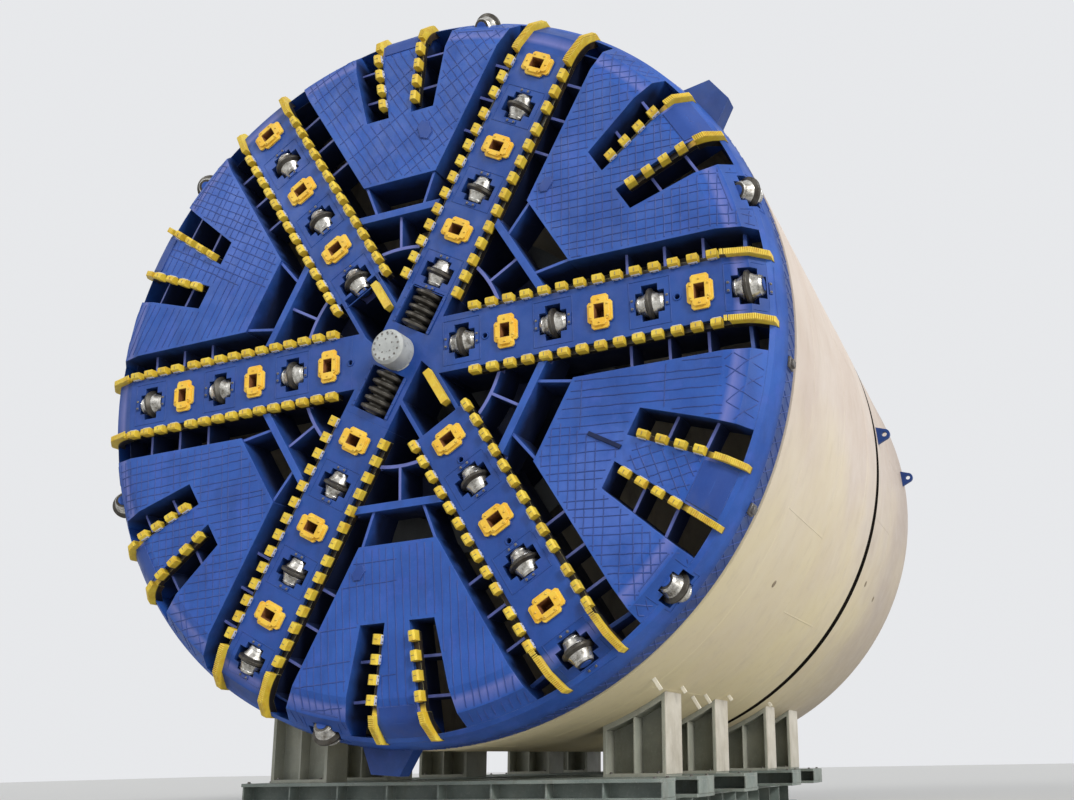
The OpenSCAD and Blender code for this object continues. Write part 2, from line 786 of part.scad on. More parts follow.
// Saddle at +X: seat plate along the shell, side plates, middle web and foot
module saddle(y0, y1, r) {
    x1 = saddle_x + saddle_w;
    foot_z = girder_h + beam_h + seat_gap - axis_z;
    difference() {
        box(saddle_x, x1, y0, y1, foot_z, -r * 0.7);
        rotate([-90, 0, 0]) cylinder(r = r + seat_gap, h = tail_end_y, $fn = 360);
        for (face = [[y0 - e, (y0 + y1) / 2 - web_half], [(y0 + y1) / 2 + web_half, y1 + e]]) difference() {
            box(saddle_x + plate_t, x1 - plate_t, face[0], face[1], foot_z + plate_t, 0);
            translate([0, y0 - 2 * e, 0]) rotate([-90, 0, 0])
                cylinder(r = r + plate_t + seat_rim, h = y1 - y0 + 4 * e, $fn = 360);
        }
    }
}

module saddles() {
    color("darkseagreen") on_axis() for (s = stations) for (side = [-1:2:s[LAST_SIDE]])
        mirror([side > 0 ? 0 : 1, 0, 0]) saddle(s[FRONT_Y], s[REAR_Y], s[FRONT_Y] > seam_y ? tail_r : shield_r);
}

// Cross beams of I section with stiffeners, one under each pair of saddles
module cross_beams() {
    count = floor(beam_half_l / stiffener_pitch);
    z0 = girder_h + seat_gap;
    z1 = girder_h + beam_h;
    color("darkgray") translate([0, -mid_y, 0]) for (s = stations) {
        y0 = s[FRONT_Y] - beam_over;
        y1 = s[REAR_Y] + beam_over;
        mid = (y0 + y1) / 2;
        box(-beam_half_l, beam_half_l, y0, y1, z0, z0 + plate_t);
        box(-beam_half_l, beam_half_l, y0, y1, z1 - plate_t, z1);
        box(-beam_half_l, beam_half_l, mid - web_half, mid + web_half, z0 + plate_t - e, z1 - plate_t + e);
        for (i = [-count:count])
            box(i * stiffener_pitch - plate_t / 4, i * stiffener_pitch + plate_t / 4, y0 + plate_t, y1 - plate_t,
                z0 + plate_t - e, z1 - plate_t + e);
    }
}

girder_w = 600;
girder_over = 500;

// Long girders of I section on the floor
module base_girders() {
    y0 = stations[0][FRONT_Y] - beam_over - girder_over / 2;
    y1 = stations[len(stations) - 1][REAR_Y] + girder_over;
    count = floor((y1 - y0) / stiffener_pitch);
    color("darkgray") translate([0, -mid_y, 0]) for (s = [-1, 1]) translate([s * (saddle_x + saddle_w / 2), 0, 0]) {
        box(-girder_w / 2, girder_w / 2, y0, y1, 0, plate_t);
        box(-girder_w / 2, girder_w / 2, y0, y1, girder_h - plate_t, girder_h);
        box(-web_half, web_half, y0, y1, plate_t - e, girder_h - plate_t + e);
        for (i = [0:count - 1])
            box(-girder_w / 2 + plate_t, girder_w / 2 - plate_t, y0 + (i + 0.5) * stiffener_pitch,
                y0 + (i + 0.5) * stiffener_pitch + plate_t / 2, plate_t - e, girder_h - plate_t + e);
    }
}

hub();
hub_cap();
for (k = [1:6]) {
    arm(k);
    panel(k);
    gauge_disc(k);
}
for (i = [1:19]) disc(i);
rim_ring();
inner_ring();
drive_drum();
arm_scrapers();
panel_scrapers();
tool_boxes();
rim_lugs();
centre_discs(centre_slot[0]);  // centre_discs_a
centre_discs(centre_slot[1]);  // centre_discs_b
front_shield();
tail_shield();
seam_ring();
bulkhead();
main_drive();
drive_motors();
thrust_ring();
thrust_cylinders();
lifting_lugs();
saddles();
cross_beams();
base_girders();
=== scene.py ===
"""Dresses the tunnel boring machine: finishes, weld beads, cutters, bolts, seals, studio and camera."""
import json
import logging
import math
import random
from dataclasses import dataclass, field, replace
from enum import Enum
from typing import Iterable, Sequence

import bmesh
import bpy
from mathutils import Matrix, Vector

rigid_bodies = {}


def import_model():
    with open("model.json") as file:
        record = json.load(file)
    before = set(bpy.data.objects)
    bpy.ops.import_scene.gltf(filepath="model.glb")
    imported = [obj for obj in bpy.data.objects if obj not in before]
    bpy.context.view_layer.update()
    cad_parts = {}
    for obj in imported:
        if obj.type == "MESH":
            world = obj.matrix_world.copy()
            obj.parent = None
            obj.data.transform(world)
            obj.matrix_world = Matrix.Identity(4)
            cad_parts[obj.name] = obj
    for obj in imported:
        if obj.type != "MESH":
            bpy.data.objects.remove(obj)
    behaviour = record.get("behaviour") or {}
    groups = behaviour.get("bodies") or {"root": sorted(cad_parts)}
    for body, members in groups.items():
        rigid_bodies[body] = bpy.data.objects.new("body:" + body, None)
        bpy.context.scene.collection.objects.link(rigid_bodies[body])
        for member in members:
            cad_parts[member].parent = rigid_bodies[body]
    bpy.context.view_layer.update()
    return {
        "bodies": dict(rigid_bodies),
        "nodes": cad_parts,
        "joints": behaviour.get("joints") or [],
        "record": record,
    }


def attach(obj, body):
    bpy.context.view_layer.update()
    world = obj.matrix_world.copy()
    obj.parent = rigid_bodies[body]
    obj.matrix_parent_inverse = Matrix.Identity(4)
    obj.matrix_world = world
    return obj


LOG = logging.getLogger("machine")
BEAD_SMOOTH_DEG = 60
Colour = tuple[float, float, float]
Point2 = tuple[float, float]
Point3 = tuple[float, float, float]
Socket = bpy.types.NodeSocket


class Body(str, Enum):
    """The bodies that pieces ride on."""

    SHIELD = "shield"
    HEAD = "cutterhead"


class Side(Enum):
    """The two sides of an arm or a strip, counter-clockwise side first."""

    LEFT = 1
    RIGHT = -1


@dataclass(frozen=True)
class Place:
    """A local frame: an origin and three unit directions."""

    origin: Vector
    x: Vector
    y: Vector
    z: Vector

    def at(self, a: float, b: float, c: float) -> Vector:
        """Return the point at a, b, c along this frame's directions."""
        return self.origin + self.x * a + self.y * b + self.z * c

    def moved(self, a: float, b: float, c: float) -> "Place":
        """Return this frame with its origin moved to local a, b, c."""
        return Place(self.at(a, b, c), self.x, self.y, self.z)

    def forwards(self, a: float, b: float, c: float) -> "Place":
        """Return the frame at local a, b, c whose x is against this frame's y."""
        return Place(self.at(a, b, c), -self.y, self.x, self.z)

    def backwards(self, a: float, b: float, c: float) -> "Place":
        """Return the frame at local a, b, c whose x is this frame's y."""
        return Place(self.at(a, b, c), self.y, self.x, self.z)

    def upwards(self, a: float, b: float, c: float) -> "Place":
        """Return the frame at local a, b, c whose x is this frame's z."""
        return Place(self.at(a, b, c), self.z, self.x, self.y)

    def mirrored(self, side: Side) -> "Place":
        """Return this frame with z turned over for the right side."""
        return Place(self.origin, self.x, self.y, self.z * side.value)

    def ring(self, along: float, r: float, count: int, phase: float = 0.0) -> list["Place"]:
        """Return this frame moved to points on a circle about its x.

        Args:
            along: Place of the circle along x.
            r: Its radius.
            count: Number of points.
            phase: Share of a step by which the first point is turned.
        """
        turns = [2 * math.pi * (i + phase) / count for i in range(count)]
        return [self.moved(along, r * math.cos(a), r * math.sin(a)) for a in turns]


def place_along(origin: Vector, axis: Vector) -> Place:
    """Build a frame whose x lies along an axis.

    Args:
        origin: Middle of the frame.
        axis: Direction of x.

    Returns:
        The frame; its y points as far back along the machine as the axis allows.
    """
    x = axis.normalized()
    back = Vector((0, 1, 0))
    if abs(x.dot(back)) > 0.98:
        back = Vector((0, 0, 1))
    y = (back - x * back.dot(x)).normalized()
    return Place(origin, x, y, x.cross(y))


@dataclass
class Layout:
    """Main sizes of the cutterhead and shield in metres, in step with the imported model."""

    joint_pos: Vector
    face_depth: float = 0.090
    first_arm_deg: float = 62.2
    rim_r: float = 5.540
    rim_inner_r: float = 5.390
    bend_w: float = 0.660
    bend_d: float = 0.690
    bend_steps: int = 3
    arm_half_w: float = 0.420
    muck_gap: float = 0.430
    panel_l: float = 2.770
    slot_l: float = 1.680
    slot_w: float = 0.390
    strip_half_w: float = 0.190
    strip_deg: float = 6.7
    slot_side_deg: float = 12.3
    shield_r: float = 5.560
    tail_r: float = 5.545
    shell_t: float = 0.080
    seam: float = 8.150

    @property
    def axis_z(self) -> float:
        """Height of the turning axis."""
        return self.joint_pos.z

    @property
    def tip_y(self) -> float:
        """Place of the scraper tips' plane along the machine."""
        return self.joint_pos.y - self.face_depth

    @property
    def centre(self) -> Vector:
        """Point of the turning axis in the tips' plane."""
        return Vector((0, self.tip_y, self.axis_z))

    def arm_deg(self, k: int) -> float:
        """Return the angle of arm k, counted from 1."""
        return self.first_arm_deg - 60 * (k - 1)

    def turned_to(self, deg: float) -> Place:
        """Return the frame at an angle: x outwards, y back from the tips' plane, z counter-clockwise."""
        a = math.radians(deg)
        return Place(self.centre, Vector((math.cos(a), 0, math.sin(a))), Vector((0, 1, 0)),
                     Vector((-math.sin(a), 0, math.cos(a))))

    def arm(self, k: int) -> Place:
        """Return the frame of arm k."""
        return self.turned_to(self.arm_deg(k))

    def panel(self, k: int) -> Place:
        """Return the frame of panel k."""
        return self.turned_to(self.arm_deg(k) - 30)

    def strip(self, k: int, side: Side) -> Place:
        """Return the frame of a scraper strip: the slot's inner corner, with x along the strip.

        Args:
            k: Number of the panel.
            side: Side of the panel's middle.
        """
        panel = self.panel(k).mirrored(side)
        a = math.radians(self.strip_deg)
        return Place(panel.at(self.slot_start, 0, self.strip_half_w),
                     panel.x * math.cos(a) + panel.z * math.sin(a), panel.y,
                     panel.z * math.cos(a) - panel.x * math.sin(a))

    def shell_at(self, y: float) -> float:
        """Return the radius of the shell at a depth."""
        return self.shield_r if y < self.seam else self.tail_r

    def bend(self, lift: float = 0.0) -> list[Point2]:
        """Return the radius and depth of the bend's corners, lifted off the head's front."""
        turns = [math.radians(90 * i / self.bend_steps) for i in range(self.bend_steps + 1)]
        return [(self.rim_r - self.bend_w * (1 - math.sin(t)) + lift * math.sin(t),
                 self.face_depth + self.bend_d * (1 - math.cos(t)) - lift * math.cos(t)) for t in turns]

    def front(self, r: float) -> tuple[float, float]:
        """Return the depth of the head's front at a radius, and its slope there."""
        knots = self.bend()
        if r <= knots[0][0]:
            return self.face_depth, 0.0
        for (r0, y0), (r1, y1) in zip(knots, knots[1:]):
            if r <= r1:
                slope = (y1 - y0) / (r1 - r0)
                return y0 + (r - r0) * slope, slope
        return knots[-1][1], 6.0

    def on_front(self, place: Place, u: float, n: float) -> tuple[Vector, Vector]:
        """Return the point of the head's front at local u, n, and the outward direction there."""
        r = math.hypot(u, n)
        depth, slope = self.front(r)
        outward = (place.x * u + place.z * n).normalized()
        normal = (outward * slope - place.y).normalized()
        return place.at(u, depth, n), normal

    def panel_half_w(self, u: float) -> float:
        """Return half of a panel's width at a distance from the axis."""
        side = self.arm_half_w + self.muck_gap
        return (u * 0.5 - side) / math.cos(math.radians(30))

    def slot_near(self, u: float) -> float:
        """Return the distance of a slot's scraper side from the panel's middle."""
        return self.strip_half_w + (u - self.slot_start) * math.tan(math.radians(self.strip_deg))

    def slot_far(self, u: float) -> float:
        """Return the distance of a slot's open side from the panel's middle."""
        return (self.strip_half_w + self.slot_w
                + (u - self.slot_start) * math.tan(math.radians(self.slot_side_deg)))

    @property
    def slot_start(self) -> float:
        """Radius of the slots' inner end."""
        return self.rim_r - self.slot_l

    @property
    def panel_inner(self) -> float:
        """Distance of the panels' inner edge from the axis."""
        return self.rim_r - self.panel_l


class Shape:
    """Collects faces in the machine's frame and turns them into one piece."""

    def __init__(self) -> None:
        """Start with no faces."""
        self.points: list[Vector] = []
        self.faces: list[tuple[int, ...]] = []

    def add(self, points: Sequence[Vector], faces: Iterable[Sequence[int]]) -> None:
        """Append points and faces.

        Args:
            points: New points.
            faces: Faces as indices into the new points.
        """
        base = len(self.points)
        self.points.extend(points)
        self.faces.extend(tuple(base + i for i in face) for face in faces)

    def block(self, place: Place, low: Sequence[float], high: Sequence[float],
              chamfer: float = 0.004) -> None:
        """Add a block with chamfered edges.

        Args:
            place: Frame of the block.
            low: Its lowest corner in the frame.
            high: Its highest corner in the frame.
            chamfer: Width cut off each edge.
        """
        mid = [(a + b) / 2 for a, b in zip(low, high)]
        half = [(b - a) / 2 for a, b in zip(low, high)]
        c = min(chamfer, 0.45 * min(half))
        corners = {}
        points = []
        for sx in (-1, 1):
            for sy in (-1, 1):
                for sz in (-1, 1):
                    for axis in range(3):
                        size = [half[i] - (0 if i == axis else c) for i in range(3)]
                        corners[sx, sy, sz, axis] = len(points)
                        points.append(place.at(mid[0] + sx * size[0], mid[1] + sy * size[1],
                                               mid[2] + sz * size[2]))
        faces: list[tuple[int, ...]] = []
        ring = ((-1, -1), (-1, 1), (1, 1), (1, -1))
        for axis in range(3):
            for s in (-1, 1):
                faces.append(tuple(corners[self._signs(axis, s, a, b) + (axis,)] for a, b in ring))
            others = [i for i in range(3) if i != axis]
            for a, b in ring:
                low_end = self._signs(axis, -1, a, b)
                high_end = self._signs(axis, 1, a, b)
                faces.append((corners[low_end + (others[0],)], corners[high_end + (others[0],)],
                              corners[high_end + (others[1],)], corners[low_end + (others[1],)]))
        for sx in (-1, 1):
            for sy in (-1, 1):
                for sz in (-1, 1):
                    faces.append(tuple(corners[sx, sy, sz, axis] for axis in range(3)))
        self.add(points, faces)

    @staticmethod
    def _signs(axis: int, s: int, a: int, b: int) -> tuple[int, int, int]:
        """Return the corner's signs with s on one axis and a, b on the other two."""
        signs = [a, b]
        signs.insert(axis, s)
        return tuple(signs)

    def turned(self, place: Place, profile: Sequence[Point2], sides: int = 32, closed: bool = False) -> None:
        """Add a form turned about the frame's x.

        Args:
            place: Frame whose x is the turning axis.
            profile: Points of distance along x and radius.
            sides: Number of faces round the form.
            closed: Whether the profile's last point joins its first.
        """
        points = []
        for i in range(sides):
            a = 2 * math.pi * i / sides
            for d, r in profile:
                points.append(place.at(d, r * math.cos(a), r * math.sin(a)))
        m = len(profile)
        faces = []
        for i in range(sides):
            j = (i + 1) % sides
            for k in range(m if closed else m - 1):
                k1 = (k + 1) % m
                faces.append((i * m + k, i * m + k1, j * m + k1, j * m + k))
        if not closed:
            faces.append(tuple(i * m for i in range(sides)))
            faces.append(tuple(i * m + m - 1 for i in range(sides)))
        self.add(points, faces)

    def sector(self, place: Place, profile: Sequence[Point2], deg0: float, deg1: float, steps: int) -> None:
        """Add a closed profile swept part of a turn about the machine's axis.

        Args:
            place: Frame at angle zero: x outwards, y back, z the turning direction.
            profile: Closed outline of radius and depth.
            deg0: Angle where it starts.
            deg1: Angle where it ends.
            steps: Number of steps between.
        """
        m = len(profile)
        points = []
        for i in range(steps + 1):
            a = math.radians(deg0 + (deg1 - deg0) * i / steps)
            for r, y in profile:
                points.append(place.at(r * math.cos(a), y, r * math.sin(a)))
        faces = [(i * m + k, i * m + (k + 1) % m, (i + 1) * m + (k + 1) % m, (i + 1) * m + k)
                 for i in range(steps) for k in range(m)]
        faces.append(tuple(range(m)))
        faces.append(tuple(steps * m + k for k in range(m)))
        self.add(points, faces)

    def hoop(self, place: Place, profile: Sequence[Point2], steps: int) -> None:
        """Add a closed profile swept all round the machine's axis, but for a gap too small to see."""
        self.sector(place, profile, 0, 359.99, steps)

    def bead(self, path: Sequence[tuple[Vector, Vector]], width: float, height: float) -> None:
        """Add a weld bead along a path on a surface.

        Args:
            path: Points with the surface's outward direction at each.
            width: Width of the bead's foot.
            height: Height of its crown.
        """
        if len(path) < 2:
            return
        points = []
        for i, (p, normal) in enumerate(path):
            ahead = path[min(i + 1, len(path) - 1)][0] - path[max(i - 1, 0)][0]
            across = ahead.cross(normal).normalized()
            for s, h in ((0.5, -0.3), (0.28, 0.85), (0.0, 1.0), (-0.28, 0.85), (-0.5, -0.3)):
                points.append(p + across * (s * width) + normal * (h * height))
        m = 5
        faces = [(i * m + k, i * m + k + 1, (i + 1) * m + k + 1, (i + 1) * m + k)
                 for i in range(len(path) - 1) for k in range(m - 1)]
        faces.append(tuple(range(m)))
        faces.append(tuple((len(path) - 1) * m + k for k in range(m)))
        self.add(points, faces)

    def bolt(self, place: Place, r: float, height: float, washer: float = 1.45) -> None:
        """Add a hexagon bolt head with a washer, standing up along the frame's x."""
        wide = r * washer
        self.turned(place, [(0, wide), (height * 0.16, wide), (height * 0.2, wide * 0.96)], 20)
        self.turned(place, [(height * 0.2, r), (height * 0.86, r), (height, r * 0.86)], 6)

    def piece(self, name: str, finish: "Finish", body: Body | str,
              smooth_deg: float = 38) -> bpy.types.Object:
        """Make the collected faces one object that rides on a body.

        Args:
            name: Name of the piece.
            finish: Its finish.
            body: The body it rides on.
            smooth_deg: Edges flatter than this are smooth.

        Returns:
            The new object.
        """
        mesh = bpy.data.meshes.new(name)
        mesh.from_pydata([tuple(p) for p in self.points], [], self.faces)
        work = bmesh.new()
        work.from_mesh(mesh)
        bmesh.ops.recalc_face_normals(work, faces=work.faces)
        work.to_mesh(mesh)
        work.free()
        mesh.shade_smooth()
        mesh.set_sharp_from_angle(angle=math.radians(smooth_deg))
        mesh.materials.append(finish.material())
        obj = bpy.data.objects.new(name, mesh)
        bpy.context.scene.collection.objects.link(obj)
        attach(obj, body.value if isinstance(body, Body) else body)
        LOG.info("%s: %d faces on %s", name, len(mesh.polygons), body)
        return obj


class Nodes:
    """Adds and joins the nodes of one tree."""

    def __init__(self, tree: bpy.types.NodeTree) -> None:
        """Keep the tree to work on."""
        self.tree = tree

    def link(self, value: object, socket: Socket) -> None:
        """Join a socket or set a plain value on an input."""
        if isinstance(value, Socket):
            self.tree.links.new(value, socket)
        elif isinstance(value, tuple) and len(value) == 3 and socket.type == "RGBA":
            socket.default_value = (*value, 1)
        else:
            socket.default_value = value

    def node(self, kind: str, inputs: dict, **settings: object) -> bpy.types.Node:
        """Add a node.

        Args:
            kind: Its type, without the words that every type begins with.
            inputs: Sockets or plain values for its inputs.
            settings: Its properties, which are set before the inputs.

        Returns:
            The new node.
        """
        node = self.tree.nodes.new(f"ShaderNode{kind}")
        for key, value in settings.items():
            setattr(node, key, value)
        for key, value in inputs.items():
            self.link(value, node.inputs[key])
        return node

    def math(self, operation: str, a: object, b: object = 0.0) -> Socket:
        """Return one arithmetic step."""
        return self.node("Math", {0: a, 1: b}, operation=operation).outputs[0]


class Recipe(Nodes):
    """Builds the nodes of one material. All patterns lie in object coordinates, in metres."""

    def __init__(self, name: str) -> None:
        """Start an empty material with a Principled shader."""
        self.material = bpy.data.materials.new(name)
        self.material.use_nodes = True
        super().__init__(self.material.node_tree)
        self.shader = self.tree.nodes["Principled BSDF"]
        self.coords = self.node("TexCoord", {}).outputs["Object"]

    def set(self, key: str, value: object) -> None:
        """Give one of the shader's inputs a socket or a plain value."""
        self.link(value, self.shader.inputs[key])

    def noise(self, size: float, detail: float = 4, rough: float = 0.55,
              stretch: Point3 = (1, 1, 1)) -> Socket:
        """Return noise whose features are about size metres across.

        Args:
            size: Size of a feature.
            detail: Octaves of finer noise.
            rough: Strength of the finer octaves.
            stretch: Factors that lengthen the features along X, Y and Z.
        """
        scale = tuple(1 / (size * s) for s in stretch)
        scaled = self.node("Mapping", {"Scale": scale, "Vector": self.coords}, vector_type="POINT")
        return self.node("TexNoise", {"Scale": 1, "Detail": detail, "Roughness": rough,
                                      "Vector": scaled.outputs["Vector"]}).outputs["Fac"]

    def band(self, value: object, low: float, high: float, to_low: float = 0.0,
             to_high: float = 1.0) -> Socket:
        """Return value mapped from low..high to to_low..to_high and clamped."""
        return self.node("MapRange", {"Value": value, "From Min": low, "From Max": high, "To Min": to_low,
                                      "To Max": to_high}).outputs["Result"]

    def product(self, first: object, *others: object) -> object:
        """Return the product of all values."""
        for other in others:
            first = self.math("MULTIPLY", first, other)
        return first

    def length(self, a: object, b: object) -> Socket:
        """Return the length of the vector with parts a and b."""
        return self.math("SQRT", self.math("ADD", self.product(a, a), self.product(b, b)))

    def mix(self, share: object, a: object, b: object) -> Socket:
        """Return colour a changed to colour b by a share from 0 to 1."""
        return self.node("Mix", {0: share, 6: a, 7: b}, data_type="RGBA").outputs[2]

    def position(self) -> tuple[Socket, ...]:
        """Return the X, Y and Z of the object coordinates."""
        return tuple(self.node("SeparateXYZ", {0: self.coords}).outputs)

    def about_axis(self, axis_z: float) -> tuple[Socket, ...]:
        """Return X, Y, the height over the turning axis and the distance from it."""
        x, y, z = self.position()
        height = self.math("SUBTRACT", z, axis_z)
        return x, y, height, self.length(x, height)

    def forward(self) -> Socket:
        """Return how far the surface faces the head's front, from -1 to 1."""
        plain = self.node("NewGeometry", {})
        parts = self.node("SeparateXYZ", {0: plain.outputs["True Normal"]})
        return self.product(parts.outputs[1], -1.0)

    def edges(self, radius: float, strength: float = 0.2) -> tuple[Socket, Socket]:
        """Return a mask of the edges and the softened normal.

        Args:
            radius: Width of the softened edge.
            strength: How far the normals differ where the mask is full.
        """
        soft = self.node("Bevel", {"Radius": radius}, samples=4).outputs["Normal"]
        plain = self.node("NewGeometry", {}).outputs["Normal"]
        dot = self.node("VectorMath", {0: soft, 1: plain}, operation="DOT_PRODUCT").outputs["Value"]
        return self.band(dot, 1.0 - strength, 0.995, 1.0, 0.0), soft

    def bump(self, height: object, distance: float, normal: object = None,
             strength: float = 1.0) -> Socket:
        """Return a normal raised by a height.

        Args:
            height: Height from 0 to 1.
            distance: Height in metres that 1 stands for.
            normal: Normal to start from.
            strength: Share of the effect.
        """
        inputs = {"Strength": strength, "Distance": distance, "Height": height}
        if normal is not None:
            inputs["Normal"] = normal
        return self.node("Bump", inputs).outputs["Normal"]


@dataclass(frozen=True)
class Finish:
    """A finish: the record's slot it belongs to and how its material is made once."""

    name: str
    slot: str

    def material(self) -> bpy.types.Material:
        """Return the material, made at the first call."""
        found = bpy.data.materials.get(self.name)
        if found is None:
            recipe = Recipe(self.name)
            self.dress(recipe)
            found = recipe.material
        return found

    def dress(self, recipe: Recipe) -> None:
        """Fill in the material's nodes."""
        raise NotImplementedError


@dataclass(frozen=True)
class Paint(Finish):
    """Workshop paint on steel plate: clouded colour, fine speckle, scuffed edges, dust and orange peel."""

    colour: Colour = (0.5, 0.5, 0.5)
    cloud: Colour = (0.5, 0.5, 0.5)
    scuff: Colour = (0.6, 0.6, 0.6)
    dirt: Colour = (0.10, 0.08, 0.06)
    cloud_size: float = 0.9
    speckle: float = 0.35
    edge_wear: float = 0.7
    dirt_share: float = 0.25
    roughness: Point2 = (0.38, 0.6)
    peel: float = 0.0012
    edge_radius: float = 0.012
    specular: float = 0.32

    def shade(self, recipe: Recipe) -> object:
        """Return the colour before edges and dirt; other paints add to it."""
        clouds = recipe.band(recipe.noise(self.cloud_size, 5), 0.38, 0.64)
        base = recipe.mix(clouds, self.colour, self.cloud)
        fine = recipe.band(recipe.noise(0.035, 3, 0.7), 0.55, 0.75, 0.0, self.speckle)
        return recipe.mix(fine, base, self.scuff)

    def dress(self, recipe: Recipe) -> None:
        """Build the paint's nodes."""
        base = self.shade(recipe)
        streaks = recipe.band(recipe.noise(0.22, 6, 0.65, (1, 1, 3.5)), 0.52, 0.78, 0.0, self.dirt_share)
        base = recipe.mix(streaks, base, self.dirt)
        mask, soft = recipe.edges(self.edge_radius)
        chips = recipe.band(recipe.noise(0.06, 5, 0.7), 0.36, 0.56)
        worn = recipe.product(mask, chips, self.edge_wear)
        recipe.set("Base Color", recipe.mix(worn, base, self.scuff))
        recipe.set("Roughness", recipe.band(recipe.noise(0.3, 5), 0.3, 0.7, *self.roughness))
        recipe.set("Specular IOR Level", self.specular)
        peel = recipe.noise(0.012, 2, 0.5)
        waves = recipe.bump(recipe.noise(0.4, 2), 0.006, soft, 0.5)
        recipe.set("Normal", recipe.bump(peel, self.peel, waves, 0.5))


@dataclass(frozen=True)
class HeadPaint(Paint):
    """Blue of the cutterhead: lilac clouding on the faces, paler painted highlights in two patches, and
    painted shade that darkens it down in the openings.
    """

    tip_y: float = 0.0
    axis_z: float = 0.0
    # Painted shade: near-black blue for the walls and depths of the openings and for the rim's inside.
    deep: Colour = (0.010, 0.014, 0.036)
    lilac: Colour = (0.048, 0.100, 0.440)
    web: Colour = (0.180, 0.190, 0.460)
    # Painted highlight: a paler blue round two spots on the face stands in for the sky's sheen on the paint.
    sheen_blue: Colour = (0.085, 0.165, 0.540)
    sheen_spots: tuple[Point3, ...] = ((-3.05, 2.70, 1.5), (3.10, -2.45, 1.1))
    sheen_share: float = 0.50
    web_share: float = 0.65

    def shade(self, recipe: Recipe) -> object:
        """Return the blue with its painted highlights and the painted shade of its openings."""
        base = super().shade(recipe)
        lilac = recipe.band(recipe.noise(0.28, 4, 0.6), 0.5, 0.72, 0.0, 0.5)
        base = recipe.mix(lilac, base, self.lilac)
        x, y, height, radius = recipe.about_axis(self.axis_z)
        # Painted highlight: blend towards the paler blue near each spot, with a ragged edge.
        for across, up, reach in self.sheen_spots:
            away = recipe.length(recipe.math("SUBTRACT", x, across), recipe.math("SUBTRACT", height, up))
            patchy = recipe.math("ADD", away, recipe.band(recipe.noise(0.35, 4), 0.3, 0.7, -0.45, 0.45))
            base = recipe.mix(recipe.band(patchy, 0.3 * reach, reach, self.sheen_share, 0.0), base, self.sheen_blue)
        depth = recipe.math("SUBTRACT", y, self.tip_y)
        ragged = recipe.math("ADD", depth, recipe.band(recipe.noise(0.2, 3), 0.3, 0.7, -0.05, 0.05))
        front = recipe.band(recipe.forward(), 0.5, 0.9)
        within = recipe.band(radius, 5.05, 5.20, 1.0, 0.0)
        webs = recipe.product(recipe.band(depth, 0.115, 0.135), front, within, self.web_share)
        base = recipe.mix(webs, base, self.web)
        # Painted shade: sideways walls darken with depth, and deep openings and the rim's inside go
        # near-black.
        sideways = recipe.math("SUBTRACT", 1.0, front)
        walls = recipe.product(recipe.band(ragged, 0.02, 0.36, 0.12, 0.95), sideways)
        hollow_shade = recipe.math("MAXIMUM", walls, recipe.band(ragged, 0.50, 1.0, 0.0, 0.93))
        inside = recipe.product(hollow_shade, recipe.band(radius, 5.15, 5.35, 1.0, 0.0))
        rim = recipe.product(recipe.band(ragged, 0.66, 0.84, 0.0, 0.5), recipe.band(radius, 5.3, 5.45))
        return recipe.mix(recipe.math("MAXIMUM", inside, rim), base, self.deep)


@dataclass(frozen=True)
class ShieldPaint(Paint):
    """Cream of the shield: pinkish above; yellower and lighter below, where the extra lightness is painted
    light against the shade under the shell; darker and greyer towards the tail's end.
    """

    # Yellower cream below; it is also lighter than the cream, and that lightness is painted light against
    # the shade under the shell.
    low: Colour = (0.72, 0.62, 0.36)
    heights: Point2 = (2.2, 6.4)
    tail: Colour = (0.36, 0.295, 0.25)
    tail_from: Point2 = (0.6, 6.4)

    def shade(self, recipe: Recipe) -> object:
        """Return the cream with its change of tone."""
        base = super().shade(recipe)
        _, y, z = recipe.position()
        drift = recipe.band(recipe.noise(2.2, 3), 0.3, 0.7, -1.1, 1.1)
        # Yellower and lighter towards the bottom: the yellow is a change of tone, the extra lightness is
        # painted light.
        low_tint_and_light = recipe.band(recipe.math("ADD", z, drift), *self.heights, 0.85, 0.0)
        base = recipe.mix(low_tint_and_light, base, self.low)
        greyed = recipe.band(recipe.math("ADD", y, drift), *self.tail_from, 0.0, 0.75)
        return recipe.mix(greyed, base, self.tail)


@dataclass(frozen=True)
class ToolPaint(Paint):
    """Yellow of the scrapers, with painted shade on the seat bars behind them: near-black past the seat
    depth.
    """

    tip_y: float = 0.0
    axis_z: float = 0.0
    seat_depth: float = 0.150
    bend_start: float = 4.880
    bend_w: float = 0.660
    bend_d: float = 0.690
    # Painted shade: near-black for the shadowed seat bars between and behind the scrapers.
    seat: Colour = (0.012, 0.010, 0.010)
    orange: Colour = (0.62, 0.30, 0.03)

    def shade(self, recipe: Recipe) -> object:
        """Return the yellow, with painted shade behind the scrapers' seat depth."""
        base = super().shade(recipe)
        orange = recipe.band(recipe.noise(0.11, 4, 0.7), 0.5, 0.68, 0.0, 0.55)
        base = recipe.mix(orange, base, self.orange)
        _, y, _, radius = recipe.about_axis(self.axis_z)
        t = recipe.band(radius, self.bend_start, self.bend_start + self.bend_w, 0.0, 0.98)
        root = recipe.math("SQRT", recipe.math("SUBTRACT", 1.0, recipe.product(t, t)))
        fall = recipe.product(recipe.math("SUBTRACT", 1.0, root), self.bend_d)
        depth = recipe.math("SUBTRACT", recipe.math("SUBTRACT", y, self.tip_y), fall)
        # Painted shade: everything deeper than the seat depth, measured from the head's front along the
        # bend, goes near-black.
        behind = recipe.band(depth, self.seat_depth - 0.028, self.seat_depth - 0.008)
        return recipe.mix(behind, base, self.seat)


